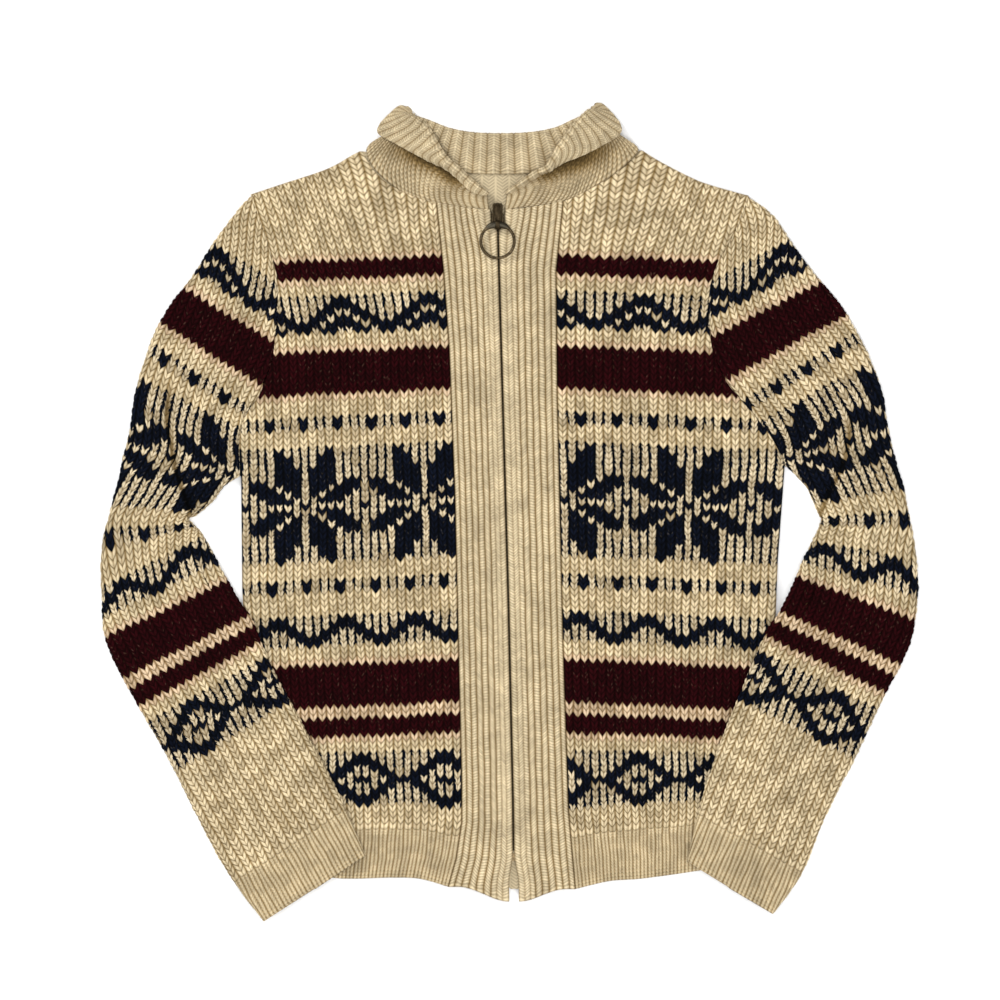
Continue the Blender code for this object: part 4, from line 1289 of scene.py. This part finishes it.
def grid_normals(points, columns, rows):
    """Normals of a grid of points, rows by columns."""
    shaped = points.reshape(rows + 1, columns + 1, 3)
    normal = np.cross(np.gradient(shaped, axis=1), np.gradient(shaped, axis=0))
    normal /= np.maximum(np.linalg.norm(normal, axis=2, keepdims=True), 1e-9)
    return normal.reshape(-1, 3)


def from_front(station):
    """Stations from the nearer front end of the collar."""
    return np.minimum(station, len(COLLAR) - 1 - station)


def drifted(station, share):
    """The station that a wale has reached at a share of the collar's height: the ribs lean
    towards the back above the seam, and return as the fall comes down."""
    heights, gains = zip(*DRIFT_UP)
    drift = np.interp(from_front(station), np.arange(len(COLLAR_DRIFT)), COLLAR_DRIFT)
    way = np.where(station < (len(COLLAR) - 1) / 2, 1.0, -1.0)
    return station + way * drift * np.interp(share, heights, gains)


def collar_ribs(wale, stitch):
    """Relief of the collar's two faces, from 0 to 1: close ribs on the outer one, and on the
    inner one a thin ridge for every two of them with a chain of stitches between."""
    leg = 0.72 + 0.28 * np.sin(np.pi * part_of(stitch))
    outer = np.sin(np.pi * part_of(wale)) ** 0.7 * leg
    pair = part_of(wale / 2.0)
    ridge = np.exp(-((pair - 0.5) / 0.10) ** 2)
    chain = 0.62 * np.sin(np.pi * np.abs(2.0 * pair - 1.0)) ** 0.5 * leg
    return outer, np.maximum(ridge, chain)


def stand_shade(side, x, y, station):
    """The stand below the fall: a painted shadow in the hollow under the fall's free edge, and
    its height where the collar's front corner makes a second, smaller roll."""
    rows = COLLAR if side < 0 else COLLAR[::-1]
    flat = np.column_stack([x, y])
    near_edge = distance_to(flat, [row[8:10] for row in rows[:FRONT_STATIONS]])
    window = smoothstep((from_front(station) - 1.2) / 1.6) * smoothstep(
        (6.8 - from_front(station)) / 2.2)
    # Painted shadow, darkest along the fall's free edge
    hollow = window * np.exp(-(near_edge / HOLLOW_SHADOW_REACH[side]) ** 2)
    roll = distance_to(flat, SECOND_ROLL[side])
    bump = np.exp(-(roll / 5.0) ** 2)
    return hollow, bump


class SWEATER_OT_collar(Operator):
    """Knit the ribbed collar, which stands up and folds over"""
    bl_idname = "sweater.collar"
    bl_label = "Collar"

    def execute(self, context):
        knit = context.scene.sweater_knit
        ribs = knit.collar_ribs
        bm, wale, stitch = weave(ribs, COLLAR_ROWS, COLLAR_GRAIN)
        columns, rows = ribs * COLLAR_GRAIN[0], COLLAR_ROWS * COLLAR_GRAIN[1]
        order = np.lexsort((wale, stitch))
        last = len(COLLAR) - 1
        seam_station = last * wale / ribs
        in_front = from_front(seam_station) < FRONT_STATIONS
        single = lean(wale, stitch, 0.6)
        paired = lean(wale / 2.0 + 0.5, stitch, 1.2)
        stand = in_front & (stitch < 0.4 * COLLAR_ROWS)
        up = np.clip(stitch + np.where(stand, single, paired), 0.0, COLLAR_ROWS)
        share = up / COLLAR_ROWS
        station = drifted(seam_station, share)
        inside = collar_surface(station, share)
        even_share = stitch / COLLAR_ROWS
        even = collar_surface(drifted(seam_station, even_share), even_share)
        normal = np.zeros_like(inside)
        normal[order] = grid_normals(even[order], columns, rows)
        close, open_ribs = collar_ribs(wale, stitch)
        hidden = (~in_front & (share > 0.5)) | (in_front & (share < STAND_SHARE))
        quiet = np.where(hidden, 0.0, 1.0)
        rim = np.min([share * COLLAR_TALL + SEAM_ROOM, (1.0 - share) * COLLAR_TALL,
                      wale * COLLAR_PITCH, (ribs - wale) * COLLAR_PITCH], axis=0)
        edge = rolled(rim, *COLLAR_EDGE)
        sewn = np.where(in_front, 0.0, 1.7 * (1.0 - smoothstep(share * 18.0)))
        thick = WALL + (1.3 * open_ribs - 0.3) * quiet - edge - sewn
        outside = inside + normal * thick[:, None]
        outside[:, 2] = np.maximum(outside[:, 2], 0.1)
        side = np.where(seam_station < last / 2, -1, 1)
        # Painted shadow in the hollow under the fall, and the second roll
        hollow, bump = np.zeros(len(wale)), np.zeros(len(wale))
        for way in (-1, 1):
            here = side == way
            hollow[here], bump[here] = stand_shade(way, inside[here, 0], inside[here, 1],
                                                   station[here])
        showing = in_front & (share < STAND_SHARE)
        edge = rolled(np.where(showing, rim + SEAM_ROOM, rim), *COLLAR_EDGE)
        edge = edge + np.where(showing, 1.3 * (1.0 - smoothstep(share * 45.0)), 0.0)
        inner = np.where(showing, 0.9 * (1.0 - close) * (1.0 - 0.5 * bump) - 2.0 * bump, 0.0)
        inside = inside + normal * (inner + edge)[:, None]
        # Painted shade of the stand that shows: dark grooves between its ribs, softer on the
        # second roll, and a painted shadow darker than any groove in the hollow under the fall
        soft = 0.36 + 0.32 * close
        ribbed = 0.1 + 0.66 * close
        shade = (ribbed + (soft - ribbed) * bump) * (1.0 - hollow) - 0.17 * hollow
        keep = bm.verts.layers.int.new("order")
        for index, vert in enumerate(bm.verts):
            vert[keep] = index
        set_points(bm, inside, np.where(showing, shade, close))
        grown = bmesh.ops.extrude_face_region(bm, geom=list(bm.faces))
        outer = outside * MM
        depth = bm.verts.layers.float["depth"]
        # Painted shade in the grooves of the collar's other face
        for vert in parts(grown, bmesh.types.BMVert):
            vert.co = outer[vert[keep]]
            vert[depth] = 0.3 + 0.7 * open_ribs[vert[keep]]
        obj = finish_cloth("Collar", bm, [], 31, COLLAR_GRAIN,
                           wool("Collar wool", 0.45, notch=(0.5, 0.66)))
        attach(obj, "garment")
        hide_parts("collar")
        return {"FINISHED"}


class SWEATER_OT_zip(Operator):
    """Set the zip's teeth between the bands, and finish its tapes and box"""
    bl_idname = "sweater.zip"
    bl_label = "Zip"

    def execute(self, context):
        yarns = context.scene.sweater_yarn
        low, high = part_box("zip_chain")
        bm = bmesh.new()
        pitch = 2.6
        height = high.z / MM - 1.0
        y = low.y / MM + pitch
        number = 0
        while y < high.y / MM - 1.0:
            side = -1 if number % 2 else 1
            made = bmesh.ops.create_cube(bm, size=1.0)
            x = float(on_line(ZIP_LINE, y)) + side * 0.55
            bmesh.ops.scale(bm, verts=made["verts"], vec=(2.6 * MM, 1.1 * MM, 1.2 * MM))
            bmesh.ops.translate(bm, verts=made["verts"], vec=(x * MM, y * MM, height * MM))
            y += pitch / 2
            number += 1
        # Brass darkened nearly to black: partly the teeth's own dark metal, partly painted shade
        # of the narrow slit between the bands
        metal = aged_metal("Teeth brass and slit shade", shaded(yarns.brass, 0.12), 0.5, 1.0)
        obj = new_object("Zip_teeth", bm, metal)
        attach(obj, "garment")
        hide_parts("zip_chain")
        tape = cotton("Zip tape cotton")
        for node in ("zip_tape_left", "zip_tape_right"):
            dress(frame["nodes"][node], tape)
        dress(frame["nodes"]["zip_box"], aged_metal("Box brass", yarns.brass, 0.4, 1.0))
        return {"FINISHED"}


def dress(obj, material):
    obj.data.materials.clear()
    obj.data.materials.append(material)


def metal_piece(name, bm, material):
    """Makes a finished metal mesh an object."""
    bmesh.ops.recalc_face_normals(bm, faces=bm.faces)
    for face in bm.faces:
        face.smooth = True
    return new_object(name, bm, material)


def ring_axis():
    """Height along the zip and above the floor of the ring's joint, in millimetres."""
    return (value / MM for value in frame["joints"][0]["pos_m"][1:])


def plate(bm, outline, low, high, round_by):
    """A flat plate with rounded upper edges, from its outline in millimetres."""
    foot = [bm.verts.new((x * MM, y * MM, low * MM)) for x, y in outline]
    face = bm.faces.new(foot)
    grown = bmesh.ops.extrude_face_region(bm, geom=[face])
    top = parts(grown, bmesh.types.BMVert)
    bmesh.ops.translate(bm, verts=top, vec=(0.0, 0.0, (high - low) * MM))
    rim = [edge for edge in bm.edges if all(vert in top for vert in edge.verts)]
    bmesh.ops.bevel(bm, geom=rim, offset=round_by * MM, segments=3, profile=0.5,
                    affect="EDGES", material=-1)


def strap(bm, path, width, thick):
    """A strap of metal bent along a path of (y, z), in millimetres from the slider's middle."""
    path = np.array(path, float)
    way = np.gradient(path, axis=0)
    way /= np.hypot(*way.T)[:, None]
    out = np.column_stack([way[:, 1], -way[:, 0]])
    corners = [(-1, -1), (1, -1), (1, 1), (-1, 1)]
    rings = [[bm.verts.new(((SLIDER_X + a * width / 2) * MM, (y + b * oy * thick / 2) * MM,
                            (z + b * oz * thick / 2) * MM)) for a, b in corners]
             for (y, z), (oy, oz) in zip(path, out)]
    for one, two in zip(rings, rings[1:]):
        for k in range(4):
            bm.faces.new((one[k], one[(k + 1) % 4], two[(k + 1) % 4], two[k]))
    bm.faces.new(rings[0])
    bm.faces.new(rings[-1][::-1])
    long_edges = [bm.edges.get((one[k], two[k])) for one, two in zip(rings, rings[1:])
                  for k in range(4)]
    bmesh.ops.bevel(bm, geom=long_edges, offset=0.28 * thick * MM, segments=2, profile=0.5,
                    affect="EDGES", material=-1)


class SWEATER_OT_slider(Operator):
    """Make the slider: a waisted body with raised sides, and the bridge that holds the ring"""
    bl_idname = "sweater.slider"
    bl_label = "Slider"

    def execute(self, context):
        yarns = context.scene.sweater_yarn
        low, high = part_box("zip_slider")
        foot, top = low.y / MM, high.y / MM
        wide = (high.x - low.x) / 2 / MM
        neck = 0.82 * wide
        half = [(wide, foot + 1.0), (wide, foot + 9.0), (neck, foot + 14.5), (neck, top - 1.5),
                (neck - 1.2, top)]
        outline = ([(SLIDER_X + x, y) for x, y in half]
                   + [(SLIDER_X - x, y) for x, y in half[::-1]])
        bm = bmesh.new()
        plate(bm, outline, low.z / MM + 0.2, SLIDER_TOP, 0.45)
        for side in (-1, 1):
            rail = [(wide - 1.7, foot + 1.6), (wide - 0.1, foot + 1.6), (wide - 0.1, foot + 9.0),
                    (neck - 0.1, foot + 14.5), (neck - 0.1, top - 1.8), (neck - 1.5, top - 1.2),
                    (neck - 1.5, foot + 14.0)]
            plate(bm, [(SLIDER_X + side * x, y) for x, y in rail[::side]], SLIDER_TOP - 0.4,
                  SLIDER_TOP + 1.5, 0.5)
        axis_y, axis_z = ring_axis()
        crown = [(top - 0.8, SLIDER_TOP - 0.6), (top - 1.6, 10.4), (top - 4.5, 11.6),
                 (top - 9.0, 12.4), (axis_y + 3.9, 13.3)]
        turn = np.radians([75, 50, 25, 0, -25, -50, -75, -90])
        eye = [(axis_y + EYE_RADIUS * math.sin(a), axis_z + EYE_RADIUS * math.cos(a))
               for a in turn]
        strap(bm, crown + eye + [(axis_y - EYE_RADIUS, SLIDER_TOP - 0.6)], 3.6, 1.1)
        metal = aged_metal("Slider brass", shaded(yarns.brass, 0.22), 0.45, 1.25, dull=0.85)
        obj = metal_piece("Zip_slider", bm, metal)
        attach(obj, "garment")
        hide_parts("zip_slider")
        return {"FINISHED"}


class SWEATER_OT_ring(Operator):
    """Make the ring pull: a round wire that swells into a saddle where it hangs"""
    bl_idname = "sweater.ring"
    bl_label = "Ring pull"

    def execute(self, context):
        yarns = context.scene.sweater_yarn
        around, section = 84, 14
        bm, column, row = weave_grid(around, section)
        turn = 2.0 * np.pi * column / around
        point = 2.0 * np.pi * row / section
        from_top = np.abs(np.degrees(np.arctan2(np.sin(turn), np.cos(turn))))
        saddle = smoothstep(1.6 * (1.0 - from_top / SADDLE_REACH))
        tall = RING_WIRE + (SADDLE_TALL - RING_WIRE) * saddle
        thick = RING_WIRE + (SADDLE_THICK - RING_WIRE) * saddle
        axis_y, axis_z = ring_axis()
        out = RING_MEAN + tall * np.cos(point)
        place = np.column_stack([SLIDER_X + out * np.sin(turn),
                                 axis_y - RING_MEAN + out * np.cos(turn),
                                 axis_z + thick * np.sin(point)])
        set_points(bm, place, np.ones(len(place)))
        bmesh.ops.remove_doubles(bm, verts=bm.verts, dist=0.01 * MM)
        obj = metal_piece("Ring_pull", bm, ring_metal(yarns.brass, axis_y - 4.6))
        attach(obj, "ring")
        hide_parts("ring_pull")
        return {"FINISHED"}


class SWEATER_OT_stage(Operator):
    """Lay a pale floor, set soft lights and put the camera straight above"""
    bl_idname = "sweater.stage"
    bl_label = "Stage"

    def execute(self, context):
        scene = context.scene
        bm = bmesh.new()
        bmesh.ops.create_grid(bm, x_segments=1, y_segments=1, size=6.0)
        paper, _, shader = new_material("Floor paper", 0.9)
        shader.inputs["Base Color"].default_value = (0.93, 0.93, 0.93, 1.0)
        floor = new_object("Floor", bm, paper)
        floor.location.z = -0.0002
        for name, place, size, power in LIGHTS:
            lamp = bpy.data.lights.new(name, "AREA")
            lamp.shape = "DISK"
            lamp.size = size
            lamp.energy = power
            obj = bpy.data.objects.new(name, lamp)
            obj.location = place
            obj.rotation_euler = (-Vector(place)).to_track_quat("-Z", "Y").to_euler()
            scene.collection.objects.link(obj)
        world = bpy.data.worlds.new("Studio")
        world.use_nodes = True
        sky = world.node_tree.nodes["Background"].inputs
        sky["Color"].default_value = (1, 1, 1, 1)
        sky["Strength"].default_value = 0.5
        scene.world = world
        scene.view_settings.view_transform = "Standard"
        camera = bpy.data.cameras.new("Camera")
        camera.angle = 2.0 * math.atan(PHOTO_SIDE * PHOTO_SCALE * MM / 2.0 / CAMERA_HEIGHT)
        camera.clip_end = 50.0
        view = bpy.data.objects.new("Camera", camera)
        view.location = ((PHOTO_SIDE / 2 - PHOTO_MIDDLE[0]) * PHOTO_SCALE * MM,
                         (PHOTO_MIDDLE[1] - PHOTO_SIDE / 2) * PHOTO_SCALE * MM, CAMERA_HEIGHT)
        scene.collection.objects.link(view)
        scene.camera = view
        return {"FINISHED"}


class SWEATER_PT_panel(Panel):
    """Lists the pieces of the sweater"""
    bl_idname = "SWEATER_PT_panel"
    bl_label = "Zip-up sweater"
    bl_space_type = "VIEW_3D"
    bl_region_type = "UI"
    bl_category = "Sweater"

    def draw(self, context):
        layout = self.layout
        for group in (context.scene.sweater_yarn, context.scene.sweater_knit):
            box = layout.box()
            for name in group.bl_rna.properties.keys():
                if name not in ("rna_type", "name"):
                    box.prop(group, name)
        for operator in OPERATORS:
            layout.operator(operator.bl_idname)


OPERATORS = (SWEATER_OT_back, SWEATER_OT_fronts, SWEATER_OT_bands, SWEATER_OT_sleeves,
             SWEATER_OT_collar, SWEATER_OT_zip, SWEATER_OT_slider, SWEATER_OT_ring,
             SWEATER_OT_stage)
CLASSES = (SweaterYarn, SweaterKnit) + OPERATORS + (SWEATER_PT_panel,)


def register():
    for item in CLASSES:
        bpy.utils.register_class(item)
    bpy.types.Scene.sweater_yarn = PointerProperty(type=SweaterYarn)
    bpy.types.Scene.sweater_knit = PointerProperty(type=SweaterKnit)


def unregister():
    del bpy.types.Scene.sweater_knit
    del bpy.types.Scene.sweater_yarn
    for item in reversed(CLASSES):
        bpy.utils.unregister_class(item)


def main():
    register()
    bpy.ops.sweater.back()
    bpy.ops.sweater.fronts()
    bpy.ops.sweater.bands()
    bpy.ops.sweater.sleeves()
    bpy.ops.sweater.collar()
    bpy.ops.sweater.zip()
    bpy.ops.sweater.slider()
    bpy.ops.sweater.ring()
    bpy.ops.sweater.stage()


if __name__ == "__main__":
    main()
